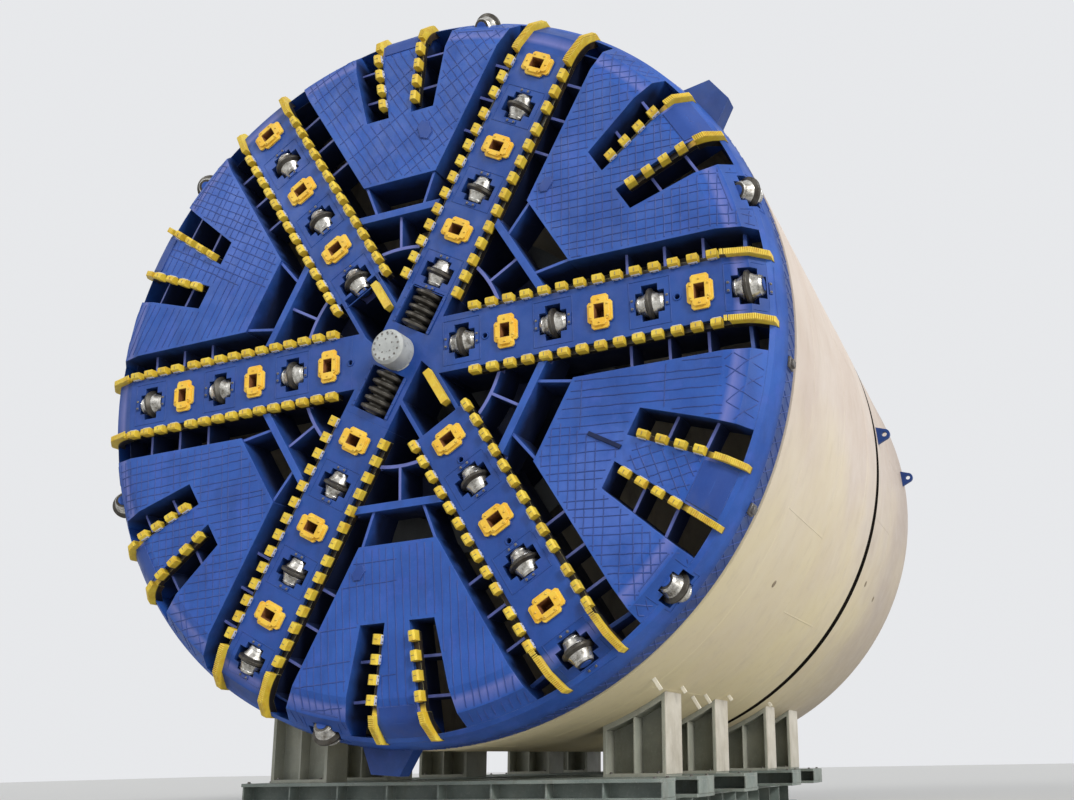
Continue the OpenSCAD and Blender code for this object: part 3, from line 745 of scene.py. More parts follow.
@dataclass(frozen=True)
class Steel(Finish):
    """Bare steel: dull or bright, with fine turning scratches and rust-brown patches."""

    colour: Colour = (0.3, 0.3, 0.3)
    patch: Colour = (0.12, 0.08, 0.05)
    patch_share: float = 0.6
    patch_size: float = 0.12
    roughness: Point2 = (0.25, 0.5)
    metallic: float = 0.85
    grain: float = 0.0006

    def dress(self, recipe: Recipe) -> None:
        """Build the steel's nodes."""
        patches = recipe.band(recipe.noise(self.patch_size, 6, 0.65), 0.42, 0.66, 0.0, self.patch_share)
        base = recipe.mix(patches, self.colour, self.patch)
        mask, soft = recipe.edges(0.008)
        bright = tuple(min(1.0, c * 1.6 + 0.08) for c in self.colour)
        recipe.set("Base Color", recipe.mix(recipe.product(mask, 0.6), base, bright))
        recipe.set("Metallic", self.metallic)
        recipe.set("Roughness", recipe.band(recipe.noise(0.05, 4), 0.3, 0.7, *self.roughness))
        recipe.set("Normal", recipe.bump(recipe.noise(0.006, 3, 0.6), self.grain, soft, 0.6))


@dataclass(frozen=True)
class Speckled(Finish):
    """Primer worn through to dark spots, as on the hub's cap."""

    colour: Colour = (0.5, 0.5, 0.5)
    spot: Colour = (0.1, 0.1, 0.1)
    spot_size: float = 0.05

    def dress(self, recipe: Recipe) -> None:
        """Build the worn primer's nodes."""
        spots = recipe.band(recipe.noise(self.spot_size, 6, 0.75), 0.60, 0.68)
        clouds = recipe.mix(recipe.band(recipe.noise(0.2, 4), 0.4, 0.7), self.colour,
                            tuple(c * 0.72 for c in self.colour))
        _, soft = recipe.edges(0.01)
        recipe.set("Base Color", recipe.mix(spots, clouds, self.spot))
        recipe.set("Roughness", recipe.band(spots, 0.0, 1.0, 0.5, 0.75))
        recipe.set("Normal", recipe.bump(spots, -0.0015, soft, 0.7))


@dataclass(frozen=True)
class Bristle(Finish):
    """Steel-wire brush, greased: dark strands with bright ends."""

    colour: Colour = (0.10, 0.09, 0.08)
    ends: Colour = (0.30, 0.28, 0.25)

    def dress(self, recipe: Recipe) -> None:
        """Build the bristles' nodes."""
        strands = recipe.noise(0.008, 2, 0.5, (1, 12, 1))
        recipe.set("Base Color", recipe.mix(recipe.band(strands, 0.4, 0.7), self.colour, self.ends))
        recipe.set("Metallic", 0.6)
        recipe.set("Roughness", 0.5)
        recipe.set("Normal", recipe.bump(strands, 0.004))


@dataclass
class Palette:
    """All finishes of the machine."""

    layout: Layout
    blue: HeadPaint = HeadPaint(
        "head_paint", "head_blue", colour=(0.014, 0.067, 0.310), cloud=(0.024, 0.097, 0.400),
        scuff=(0.110, 0.180, 0.500), dirt=(0.012, 0.032, 0.140), speckle=0.12, dirt_share=0.4,
        edge_wear=0.6)
    arm: HeadPaint = HeadPaint(
        "arm_paint", "head_blue", colour=(0.008, 0.048, 0.238), cloud=(0.014, 0.067, 0.300),
        scuff=(0.090, 0.150, 0.420), dirt=(0.010, 0.024, 0.100), speckle=0.12, dirt_share=0.4,
        edge_wear=0.6, lilac=(0.030, 0.070, 0.320))
    bead: Paint = Paint(
        "hard_beads", "head_blue", colour=(0.016, 0.044, 0.200), cloud=(0.030, 0.070, 0.290),
        scuff=(0.110, 0.160, 0.420), dirt=(0.010, 0.016, 0.060), speckle=0.3, peel=0.002)
    plate: Paint = Paint(
        "smooth_plates", "head_blue", colour=(0.014, 0.048, 0.230), cloud=(0.020, 0.066, 0.290),
        scuff=(0.140, 0.200, 0.500), speckle=0.05, dirt_share=0.2, edge_wear=0.8)
    strap: Paint = Paint(
        "dark_bar", "head_blue", colour=(0.005, 0.011, 0.045), cloud=(0.008, 0.018, 0.070),
        scuff=(0.030, 0.060, 0.200), dirt=(0.010, 0.010, 0.012), speckle=0.05, dirt_share=0.2,
        edge_wear=0.3, specular=0.2)
    yellow: ToolPaint = ToolPaint(
        "tool_paint", "tool_yellow", colour=(0.78, 0.57, 0.055), cloud=(0.66, 0.44, 0.03),
        scuff=(0.86, 0.76, 0.26), dirt=(0.16, 0.09, 0.03), speckle=0.3, cloud_size=0.25, dirt_share=0.45,
        edge_wear=0.5)
    ripper: Paint = Paint(
        "ripper_paint", "tool_yellow", colour=(0.83, 0.46, 0.025), cloud=(0.86, 0.56, 0.06),
        scuff=(0.92, 0.74, 0.30), dirt=(0.30, 0.13, 0.02), speckle=0.25, cloud_size=0.2, dirt_share=0.35,
        edge_wear=0.5)
    flank: Paint = Paint(
        "flank_plates", "tool_yellow", colour=(0.42, 0.44, 0.58), cloud=(0.56, 0.56, 0.60),
        scuff=(0.75, 0.75, 0.75), dirt=(0.12, 0.12, 0.16), speckle=0.3, cloud_size=0.12)
    cutter: Steel = Steel(
        "cutter_steel", "disc_steel", colour=(0.085, 0.078, 0.066), patch=(0.030, 0.022, 0.015),
        metallic=0.7, roughness=(0.27, 0.5), patch_share=0.7)
    bright: Steel = Steel(
        "bright_steel", "disc_steel", colour=(0.66, 0.64, 0.59), patch=(0.075, 0.060, 0.040), metallic=0.88,
        roughness=(0.20, 0.40), patch_share=0.88, patch_size=0.09)
    bolt: Steel = Steel(
        "bolt_steel", "disc_steel", colour=(0.16, 0.15, 0.14), patch=(0.07, 0.05, 0.035), metallic=0.7,
        roughness=(0.35, 0.55))
    cap: Speckled = Speckled(
        "cap_primer", "cap_grey", colour=(0.44, 0.45, 0.43), spot=(0.045, 0.055, 0.055))
    rust: Paint = Paint(
        "ripper_lining", "tool_yellow", colour=(0.16, 0.055, 0.018), cloud=(0.26, 0.10, 0.03),
        scuff=(0.40, 0.20, 0.07), dirt=(0.03, 0.015, 0.01), dirt_share=0.6, cloud_size=0.08,
        roughness=(0.6, 0.85))
    cream: ShieldPaint = ShieldPaint(
        "shield_paint", "shield_cream", colour=(0.60, 0.495, 0.415), cloud=(0.66, 0.565, 0.485),
        scuff=(0.46, 0.39, 0.29), dirt=(0.44, 0.36, 0.26), speckle=0.12, cloud_size=1.6, dirt_share=0.3,
        edge_wear=0.5, roughness=(0.42, 0.62))
    port: Paint = Paint(
        "port_plugs", "shield_cream", colour=(0.20, 0.15, 0.09), cloud=(0.30, 0.24, 0.16),
        scuff=(0.45, 0.38, 0.28), cloud_size=0.1)
    # Near-black rubber of the seam's seal ring; on the band behind the seam the same black is painted shadow
    # of the joint's recess.
    seam: Paint = Paint(
        "seam_rubber_and_shadow", "seam_black", colour=(0.008, 0.007, 0.006), cloud=(0.014, 0.011, 0.009),
        scuff=(0.035, 0.028, 0.022), dirt=(0.022, 0.015, 0.010), roughness=(0.85, 0.98), specular=0.0)
    machine: Paint = Paint(
        "jack_paint", "machine_blue", colour=(0.050, 0.130, 0.330), cloud=(0.065, 0.160, 0.390),
        scuff=(0.22, 0.28, 0.42))
    primer: Paint = Paint(
        "bulkhead_primer", "machine_blue", colour=(0.44, 0.37, 0.26), cloud=(0.36, 0.31, 0.22),
        scuff=(0.55, 0.50, 0.40), dirt=(0.10, 0.08, 0.06), dirt_share=0.6, cloud_size=0.7)
    drive: Paint = Paint(
        "drive_paint", "drive_grey", colour=(0.22, 0.23, 0.23), cloud=(0.28, 0.28, 0.27),
        scuff=(0.45, 0.45, 0.44))
    cradle: Paint = Paint(
        "cradle_paint", "cradle_green", colour=(0.16, 0.19, 0.17), cloud=(0.22, 0.25, 0.22),
        scuff=(0.42, 0.42, 0.38), dirt=(0.10, 0.075, 0.05), dirt_share=0.5, cloud_size=0.5)
    tab: Paint = Paint(
        "tab_paint", "shield_cream", colour=(0.80, 0.76, 0.64), cloud=(0.72, 0.66, 0.52),
        scuff=(0.88, 0.86, 0.78), dirt=(0.40, 0.33, 0.22), cloud_size=0.2)
    saddle: Paint = Paint(
        "saddle_paint", "cradle_green", colour=(0.27, 0.28, 0.23), cloud=(0.34, 0.34, 0.28),
        scuff=(0.48, 0.47, 0.40), dirt=(0.13, 0.10, 0.07), dirt_share=0.45, cloud_size=0.5)
    flange: Paint = Paint(
        "flange_paint", "cradle_green", colour=(0.46, 0.42, 0.34), cloud=(0.56, 0.52, 0.44),
        scuff=(0.66, 0.63, 0.56), dirt=(0.16, 0.12, 0.08), dirt_share=0.4, cloud_size=0.4)
    bristle: Bristle = Bristle("wire_brush", "cradle_green")

    def __post_init__(self) -> None:
        """Tell the head's paints where the tips' plane and the turning axis lie."""
        spot = {"tip_y": self.layout.tip_y, "axis_z": self.layout.axis_z}
        self.blue = replace(self.blue, **spot)
        self.arm = replace(self.arm, **spot)
        self.yellow = replace(self.yellow, **spot)

    def of_node(self, name: str, slot: str) -> Finish:
        """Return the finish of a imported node.

        Args:
            name: The node's name.
            slot: Its slot in the record.

        Returns:
            The finish.
        """
        special = {"tool_boxes": self.ripper, "bulkhead": self.primer, "hub": self.arm,
                   "saddles": self.saddle}
        if name.startswith("arm_") and slot == "head_blue":
            return self.arm
        plain = {"head_blue": self.blue, "tool_yellow": self.yellow, "disc_steel": self.cutter,
                 "cap_grey": self.cap, "shield_cream": self.cream, "seam_black": self.seam,
                 "machine_blue": self.machine, "drive_grey": self.drive, "cradle_green": self.cradle}
        return special.get(name, plain[slot])


@dataclass(frozen=True)
class ToolRow:
    """Cutters and ripper boxes of an arm, which take turns from the middle outwards."""

    box_first: bool
    first_r: float
    last_from_rim: float
    count: int
    ports: tuple[float, ...] = ()

    def places(self, rim_r: float, boxes: bool) -> list[float]:
        """Return the radii of the ripper boxes, or else of the cutters.

        Args:
            rim_r: Radius of the rim.
            boxes: True for the ripper boxes.
        """
        step = (rim_r - self.last_from_rim - self.first_r) / (self.count - 1)
        wanted = boxes == self.box_first
        return [self.first_r + i * step for i in range(self.count) if (i % 2 == 0) == wanted]


@dataclass(frozen=True)
class ToothRow:
    """Scrapers along an arm and the start of its rim blade."""

    first_r: float
    blade_from_rim: float
    outer_count: int = 0
    step: float = 0.0
    pitch: float = 0.262
    blade_gap: float = 0.180

    def places(self, rim_r: float) -> list[float]:
        """Return the radii of the row's scrapers."""
        end = rim_r - self.blade_from_rim - self.blade_gap
        outer = [end - i * self.pitch for i in range(self.outer_count)]
        mid = outer[-1] - self.step if outer else end
        count = round((mid - self.first_r) / self.pitch)
        return [self.first_r + i * (mid - self.first_r) / count for i in range(count + 1)] + outer


TOOLS = (ToolRow(False, 1.290, 0.880, 6),
         ToolRow(False, 1.030, 0.990, 6, (1.400, 4.230)),
         ToolRow(True, 1.650, 1.060, 5, (2.010, 3.420)),
         ToolRow(True, 1.400, 0.730, 6),
         ToolRow(True, 1.160, 1.070, 6, (0.800,)),
         ToolRow(False, 1.490, 0.780, 6))
TEETH = (ToothRow(1.120, 0.760, 3, 0.350),
         ToothRow(1.250, 0.610),
         ToothRow(1.400, 0.580, 3, 0.390),
         ToothRow(1.270, 0.740),
         ToothRow(1.100, 0.610, 4, 0.320),
         ToothRow(1.270, 0.740))


def clip_line(p: Vector, d: Vector, corners: Sequence[Point2]) -> tuple[float, float] | None:
    """Clip a line to a convex outline.

    Args:
        p: A point of the line.
        d: Its direction.
        corners: The outline's corners in counter-clockwise order.

    Returns:
        The stretch of the line's parameter that lies inside, or None.
    """
    low, high = -1e9, 1e9
    for (x0, y0), (x1, y1) in zip(corners, [*corners[1:], corners[0]]):
        nx, ny = y0 - y1, x1 - x0
        side = nx * (p.x - x0) + ny * (p.y - y0)
        rate = nx * d.x + ny * d.y
        if abs(rate) < 1e-9:
            if side < 0:
                return None
            continue
        t = -side / rate
        if rate > 0:
            low = max(low, t)
        else:
            high = min(high, t)
    return (low, high) if high - low > 0.03 else None


def cut_out(spans: list[tuple[float, float]], hole: tuple[float, float] | None) -> list[tuple[float, float]]:
    """Return the spans without the part inside a hole."""
    if hole is None:
        return spans
    left = [(a, min(b, hole[0])) for a, b in spans if a < hole[0]]
    right = [(max(a, hole[1]), b) for a, b in spans if b > hole[1]]
    return [(a, b) for a, b in left + right if b - a > 0.05]


@dataclass(frozen=True)
class Net:
    """One family of parallel weld beads on a panel: a direction, a pitch and the zone that it fills."""

    deg: float
    pitch: float
    zone: tuple[Point2, ...]
    jitter: float = 0.12
    gaps: float = 0.0
    off_strip: bool = False


@dataclass
class Hardfacing:
    """Weld beads laid over the panels' faces in nets that differ from panel to panel."""

    layout: Layout
    finish: Finish
    margin: float = 0.045
    width: float = 0.016
    height: float = 0.007
    gauge_deg: float = -14.3
    gauge_box: tuple[Point2, ...] = ((5.14, -0.33), (5.70, -0.33), (5.70, 0.33), (5.14, 0.33))
    middle: float = 4.2
    bend_from: float = 4.85
    flat_step: float = 0.28
    bend_step: float = 0.10
    wobble: float = 0.006
    seed: int = 41

    def outline(self) -> tuple[Point2, ...]:
        """Return the panel's outline inside its margin, with its round outer edge."""
        lay = self.layout
        u0, reach = lay.panel_inner + self.margin, lay.rim_inner_r - 0.02
        low, high = u0, reach
        for _ in range(30):
            mid = (low + high) / 2
            if math.hypot(mid, lay.panel_half_w(mid) - self.margin) < reach:
                low = mid
            else:
                high = mid
        half = math.atan2(lay.panel_half_w(low) - self.margin, low)
        shares = [i / 6 - 1 for i in range(13)]
        arc = [(reach * math.cos(half * t), reach * math.sin(half * t)) for t in shares]
        a = lay.panel_half_w(u0) - self.margin
        return (u0, -a), *arc, (u0, a)

    def slots(self) -> list[tuple[Point2, ...]]:
        """Return the outlines of the two slots with their margins."""
        lay, m = self.layout, self.margin
        u0, u1 = lay.slot_start - m, lay.rim_r
        near0, near1 = lay.slot_near(u0) - m, lay.slot_near(u1) - m
        far0, far1 = lay.slot_far(u0) + m, lay.slot_far(u1) + m
        return [((u0, near0), (u1, near1), (u1, far1), (u0, far0)),
                ((u0, -far0), (u1, -far1), (u1, -near1), (u0, -near0))]

    def strip_zone(self) -> tuple[Point2, ...]:
        """Return the outline of the strip between the two slots."""
        lay = self.layout
        near0, near1 = lay.slot_near(lay.slot_start), lay.slot_near(lay.rim_r)
        return (lay.slot_start, -near0), (lay.rim_r, -near1), (lay.rim_r, near1), (lay.slot_start, near0)

    def gauge_zone(self) -> tuple[Point2, ...]:
        """Return the outline kept free round the gauge cutter."""
        a = math.radians(self.gauge_deg)
        return tuple((u * math.cos(a) - n * math.sin(a), u * math.sin(a) + n * math.cos(a))
                     for u, n in self.gauge_box)

    def lines(self, net: Net, rng: random.Random) -> list[tuple[Vector, Vector]]:
        """Return the ends of a net's beads in the panel's plane.

        Args:
            net: The family of beads.
            rng: Source of the hand-made unevenness.
        """
        a = math.radians(net.deg)
        d, across = Vector((math.cos(a), math.sin(a))), Vector((-math.sin(a), math.cos(a)))
        outline = self.outline()
        mid = Vector((self.middle, 0.0))
        ends = []
        for i in range(-40, 41):
            shift = (i + rng.uniform(-net.jitter, net.jitter)) * net.pitch
            p = mid + across * shift
            turn = rng.uniform(-net.jitter, net.jitter) * 0.12
            way = (d + across * turn).normalized()
            inside = clip_line(p, way, outline)
            zone = clip_line(p, way, net.zone) if net.zone else (-1e9, 1e9)
            if inside is None or zone is None:
                continue
            spans = [(max(inside[0], zone[0]), min(inside[1], zone[1]))]
            holes = [*self.slots(), self.gauge_zone()]
            if net.off_strip:
                holes.append(self.strip_zone())
            for hole in holes:
                spans = cut_out(spans, clip_line(p, way, hole))
            for s0, s1 in spans:
                if s1 - s0 < 0.06 or rng.random() < net.gaps:
                    continue
                trim0, trim1 = rng.uniform(0.0, 0.02), rng.uniform(0.0, 0.02)
                ends.append((p + way * (s0 + trim0), p + way * (s1 - trim1)))
        return ends

    def path(self, place: Place, p: Vector, q: Vector, rng: random.Random) -> list[tuple[Vector, Vector]]:
        """Lay a straight bead onto the head's front.

        Args:
            place: Frame of the panel.
            p: Start in the panel's plane.
            q: End in the panel's plane.
            rng: Source of the sideways drift.

        Returns:
            Points with the front's outward direction.
        """
        length = (q - p).length
        count = max(2, math.ceil(length / self.flat_step) + 1)
        if max(p.length, q.length) > self.bend_from:
            count = max(count, math.ceil(length / self.bend_step) + 1)
        side = Vector((-(q - p).y, (q - p).x)) / max(length, 1e-6)
        points = []
        for i in range(count):
            t = i / (count - 1)
            spot = p.lerp(q, t) + side * (self.wobble * rng.uniform(-1, 1) if 0 < i < count - 1 else 0)
            points.append(self.layout.on_front(place, spot.x, spot.y))
        return points

    def nets(self, k: int) -> tuple[Net, ...]:
        """Return the nets of panel k; angles count from the panel's middle line."""
        upper = ((2.5, 0.0), (5.38, 0.0), (3.91, 3.0), (2.5, 3.0))
        lower = ((2.5, -3.0), (5.6, -3.0), (5.6, 0.0), (2.5, 0.0))
        strip = ((4.02, -0.40), (4.96, -0.40), (4.96, 0.40), (4.02, 0.40))
        corner = ((5.42, 0.0), (5.9, 0.0), (5.9, 3.0), (3.95, 3.0))
        table = {
            1: (Net(-32.2, 0.125, ()), Net(57.8, 0.125, ())),
            2: (Net(26, 0.125, upper, 0.12, 0.0, True), Net(26, 0.125, lower, 0.12, 0.0, True),
                Net(-64, 0.130, lower, 0.12, 0.12, True), Net(-64, 0.30, upper, 0.3, 0.55, True),
                Net(38, 0.135, strip, 0.2), Net(-42, 0.135, strip, 0.2),
                Net(-4, 0.190, corner, 0.15), Net(66, 0.240, corner, 0.15)),
            3: (Net(2, 0.120, (), 0.08), Net(92, 0.42, lower, 0.3, 0.4)),
            4: (Net(-28, 0.125, ()), Net(62, 0.125, (), 0.1, 0.1)),
            5: (Net(90, 0.130, ()), Net(0, 0.130, lower)),
            6: (Net(30, 0.125, ()), Net(-60, 0.26, (), 0.2, 0.3))}
        return table[k]

    def build(self) -> None:
        """Lay the beads of all six panels."""
        for k in range(1, 7):
            rng = random.Random(self.seed + k)
            shape = Shape()
            place = self.layout.panel(k)
            for net in self.nets(k):
                for p, q in self.lines(net, rng):
                    path = self.path(place, p, q, rng)
                    shape.bead(path, self.width * rng.uniform(0.85, 1.2), self.height)
            shape.piece(f"beads_panel_{k}", self.finish, Body.HEAD, BEAD_SMOOTH_DEG)


@dataclass
class RimBeads:
    """Herringbone of short weld beads round the rim's outer face."""

    layout: Layout
    finish: Finish
    pitch: float = 0.105
    front: float = 0.80
    back: float = 1.120
    lean: float = 1.3
    uneven_deg: float = 0.2
    seed: int = 7

    def build(self) -> None:
        """Lay the beads round the rim."""
        lay = self.layout
        rng = random.Random(self.seed)
        shape = Shape()
        count = round(2 * math.pi * lay.rim_r / self.pitch)
        for i in range(count):
            deg = 360 * i / count + rng.uniform(-self.uneven_deg, self.uneven_deg)
            lean = self.lean if i % 2 else -self.lean
            side = []
            for j in range(4):
                t = j / 3
                y = self.front + (self.back - self.front) * t
                place = lay.turned_to(deg + lean * t)
                side.append((place.at(lay.rim_r, y, 0), place.x))
            shape.bead(side, 0.020, 0.009)
        shape.piece("beads_rim", self.finish, Body.HEAD, BEAD_SMOOTH_DEG)


@dataclass
class RimBlocks:
    """Worn steel blocks welded to the rim's outer face."""

    layout: Layout
    finish: Finish
    bead: Finish
    panels: tuple[int, ...] = (2, 4, 6)
    beside_arm_deg: float = -9.1
    size: Point3 = (0.075, 0.200, 0.160)
    front: float = 0.80

    def build(self) -> None:
        """Weld the blocks on."""
        lay = self.layout
        blocks, beads = Shape(), Shape()
        high, deep, wide = self.size
        for k in self.panels:
            for deg in (lay.arm_deg(k) - 30, lay.arm_deg(k) + self.beside_arm_deg):
                place = lay.turned_to(deg).moved(lay.rim_r, self.front, 0)
                blocks.block(place, (-0.006, 0.0, -wide / 2), (high * 0.55, deep, wide / 2), 0.010)
                blocks.block(place, (high * 0.50, 0.030, -wide * 0.3), (high, deep - 0.030, wide * 0.3),
                             0.008)
                for s in (-1, 1):
                    out = (place.x + place.z * s).normalized()
                    foot = s * (wide / 2 + 0.004)
                    path = [(place.at(0.004, deep * t, foot), out) for t in (0.0, 0.5, 1.0)]
                    beads.bead(path, 0.020, 0.011)
        blocks.piece("rim_blocks", self.finish, Body.HEAD)
        beads.piece("beads_rim_blocks", self.bead, Body.HEAD, BEAD_SMOOTH_DEG)


@dataclass
class RimBlades:
    """Ridges across the long blades at the rim."""

    layout: Layout
    finish: Finish
    width: float = 0.085
    pitch: float = 0.028
    end_from_rim: float = 0.075
    strip_from: float = 1.240
    heights: Point2 = (0.007, 0.012)

    def ridge_path(self, u0: float) -> list[tuple[float, float, float]]:
        """Return radius, depth and slope angle of the ridges from the blade's start outwards."""
        knots = [(u0, 0.0), *self.layout.bend(self.layout.face_depth)]
        end = self.layout.rim_r - self.end_from_rim
        path = []
        rest = self.pitch
        for (r0, y0), (r1, y1) in zip(knots, knots[1:]):
            length = math.hypot(r1 - r0, y1 - y0)
            slope = math.atan2(y1 - y0, r1 - r0)
            while rest < length:
                r = r0 + (r1 - r0) * rest / length
                if r > end:
                    return path
                path.append((r, y0 + (y1 - y0) * rest / length, slope))
                rest += self.pitch
            rest -= length
        return path

    def ridge(self, shape: Shape, place: Place, spot: Vector, slope: float, height: float) -> None:
        """Add one ridge.

        Args:
            shape: Where it goes.
            place: Frame of the arm or strip.
            spot: The ridge's foot.
            slope: Slope angle of the blade there.
            height: Height of the ridge.
        """
        along = (place.x * math.cos(slope) + place.y * math.sin(slope)).normalized()
        out = (place.x * math.sin(slope) - place.y * math.cos(slope)).normalized()
        half = self.pitch * 0.32
        foot = Place(spot, along, out, place.z)
        shape.block(foot, (-half, -0.004, 0.002), (half, height, self.width - 0.002), height * 0.45)

    def blade(self, shape: Shape, place: Place, u0: float, n0: float, height: float) -> None:
        """Add the ridges of one blade.

        Args:
            shape: Where they go.
            place: Frame of the arm or strip, with z away from its side.
            u0: Radius where the blade starts.
            n0: Distance of the blade's inner side from the frame's x.
            height: Height of the ridges.
        """
        for r, y, slope in self.ridge_path(u0):
            u = math.sqrt(max(r * r - n0 * n0, 0.0))
            self.ridge(shape, place, place.at(u, y, n0), slope, height)

    def build(self) -> None:
        """Add the ridges of the arms' and the strips' blades."""
        lay = self.layout
        for k in range(1, 7):
            shape = Shape()
            for side in Side:
                high = self.heights[side is Side.RIGHT]
                start = lay.rim_r - TEETH[k - 1].blade_from_rim
                self.blade(shape, lay.arm(k).mirrored(side), start, lay.arm_half_w, high)
                self.strip(shape, lay.strip(k, side), high)
            shape.piece(f"blade_ridges_{k}", self.finish, Body.HEAD, 30)

    def strip(self, shape: Shape, place: Place, height: float) -> None:
        """Add the ridges of one strip blade.

        Args:
            shape: Where they go.
            place: Frame at the slot's inner corner, x along the strip.
            height: Height of the ridges.
        """
        for r, y, slope in self.ridge_path(self.layout.slot_start):
            s = self.along_strip(place, r)
            if s >= self.strip_from + self.pitch:
                self.ridge(shape, place, place.at(s, y, 0), slope, height)

    def along_strip(self, place: Place, r: float) -> float:
        """Return the distance along the strip where it reaches a radius."""
        start = place.origin - self.layout.centre
        b = start.dot(place.x)
        c = start.length_squared - r * r
        return -b + math.sqrt(max(b * b - c, 0.0))


@dataclass
class Scrapers:
    """Pale flank plate, two bolts and the dark cut line of every scraper."""

    layout: Layout
    flank: Finish
    bolt: Finish
    length: float = 0.140
    plate_t: float = 0.012
    plate_depths: Point2 = (0.043, 0.092)
    bolt_depth: float = 0.066
    cut_reach: Point2 = (0.030, 0.082)
    strip_first: float = 0.230
    strip_pitch: float = 0.270
    strip_count: int = 4

    def tooth(self, plates: Shape, bolts: Shape, place: Place) -> None:
        """Dress one scraper; the frame's origin is at its foot on the arm's side, z away from the arm.

        Args:
            plates: Where the flank plate goes.
            bolts: Where the bolts and the cut line go.
            place: The scraper's frame at the tips' plane.
        """
        half = self.length / 2
        y0, y1 = self.plate_depths
        n0, n1 = self.cut_reach
        plates.block(place, (-half + 0.008, y0, -self.plate_t), (half - 0.008, y1, 0.001), 0.003)
        for s in (-0.5, 0.5):
            spot = place.at(s * half, self.bolt_depth, -self.plate_t)
            bolts.bolt(Place(spot, -place.z, place.x, place.y), 0.009, 0.008)
        bolts.block(place, (-0.003, -0.0015, n0), (0.003, 0.004, n1), 0.001)

    def build(self) -> None:
        """Dress the rows of all arms and strips."""
        lay = self.layout
        plates, bolts = Shape(), Shape()
        for k in range(1, 7):
            for side in Side:
                arm = lay.arm(k).mirrored(side)
                for r in TEETH[k - 1].places(lay.rim_r):
                    self.tooth(plates, bolts, arm.moved(r, 0, lay.arm_half_w))
                strip = lay.strip(k, side)
                for i in range(self.strip_count):
                    self.tooth(plates, bolts, strip.moved(self.strip_first + i * self.strip_pitch, 0, 0))
        plates.piece("scraper_flanks", self.flank, Body.HEAD)
        bolts.piece("scraper_bolts", self.bolt, Body.HEAD)


@dataclass
class Cutters:
    """Bright shoulders of the disc cutters."""

    joints: Sequence[dict]
    bright: Finish
    shoulder: tuple[Point2, ...] = (
        (0.048, 0.168), (0.052, 0.1745), (0.060, 0.170), (0.095, 0.1525), (0.150, 0.1345), (0.153, 0.140),
        (0.160, 0.140), (0.168, 0.132), (0.188, 0.124), (0.193, 0.119), (0.193, 0.104), (0.160, 0.104),
        (0.150, 0.120), (0.095, 0.140), (0.060, 0.160))

    def build(self) -> None:
        """Dress every cutter but the centre stacks; the joint that turns the head is no cutter."""
        for joint in self.joints:
            name = joint["name"].removesuffix("_roll")
            if name == joint["name"] or name.startswith("centre"):
                continue
            place = place_along(Vector(joint["pos_m"]), Vector(joint["axis"]))
            shine = Shape()
            for end in (-1, 1):
                shine.turned(place, [(d * end, r) for d, r in self.shoulder], 40, True)
            shine.piece(f"{name}_shoulders", self.bright, joint["child"])


@dataclass
class PocketFrames:
    """Weld frames, clamp plates and bolts round the cutters' pockets."""

    layout: Layout
    joints: Sequence[dict]
    bead: Finish
    plate: Finish
    bolt: Finish
    half_u: float = 0.290
    half_n: float = 0.330
    gauge_half: Point2 = (0.26, 0.30)
    gauge_shift: float = 0.02
    past_rim: float = 0.10
    clamp_u: float = 0.246

    def frame(self, shape: Shape, place: Place, u: float, half_u: float, half_n: float) -> None:
        """Lay a rectangular bead round a pocket.

        Args:
            shape: Where it goes.
            place: Frame whose x runs outwards through the pocket.
            u: Radius of the pocket's middle.
            half_u: Half of the rectangle along x.
            half_n: Half of the rectangle along z.
        """
        corners = ((-half_u, -half_n), (half_u, -half_n), (half_u, half_n), (-half_u, half_n),
                   (-half_u, -half_n))
        limit = self.layout.rim_inner_r + self.past_rim
        for (u0, n0), (u1, n1) in zip(corners, corners[1:]):
            path = []
            for i in range(6):
                t = i / 5
                a = min(u + u0 + (u1 - u0) * t, limit)
                path.append(self.layout.on_front(place, a, n0 + (n1 - n0) * t))
            shape.bead(path, 0.016, 0.007)

    def clamp(self, plates: Shape, bolts: Shape, place: Place, u: float, end: int) -> None:
        """Add the plate over one end of a shaft with its bolts.

        Args:
            plates: Where the plate goes.
            bolts: Where the bolts go.
            place: Frame of the arm.
            u: Radius of the pocket's middle.
            end: +1 outwards, -1 inwards.
        """
        point, normal = self.layout.on_front(place, u + end * self.clamp_u, 0)
        across = place.z
        along = across.cross(normal).normalized()
        spot = Place(point, along, normal, across)
        plates.block(spot, (-0.026, -0.002, -0.085), (0.026, 0.016, 0.085), 0.004)
        for n in (-0.056, 0.056):
            bolts.bolt(Place(spot.at(0, 0.016, n), normal, along, across), 0.013, 0.016)

    def build(self) -> None:
        """Add the frames of all arms' cutters and gauge cutters."""
        lay = self.layout
        beads, plates, bolts = Shape(), Shape(), Shape()
        for joint in self.joints:
            spot = Vector(joint["pos_m"]) - lay.centre
            deg = math.degrees(math.atan2(spot.z, spot.x))
            u = math.hypot(spot.x, spot.z)
            place = lay.turned_to(deg)
            if joint["name"].startswith("gauge"):
                self.frame(beads, place, u + self.gauge_shift, *self.gauge_half)
            elif joint["name"].startswith("disc"):
                self.frame(beads, place, u, self.half_u, self.half_n)
                for end in (-1, 1):
                    self.clamp(plates, bolts, place, u, end)
        beads.piece("beads_pockets", self.bead, Body.HEAD, BEAD_SMOOTH_DEG)
        plates.piece("clamp_plates", self.plate, Body.HEAD)
        bolts.piece("clamp_bolts", self.bolt, Body.HEAD)


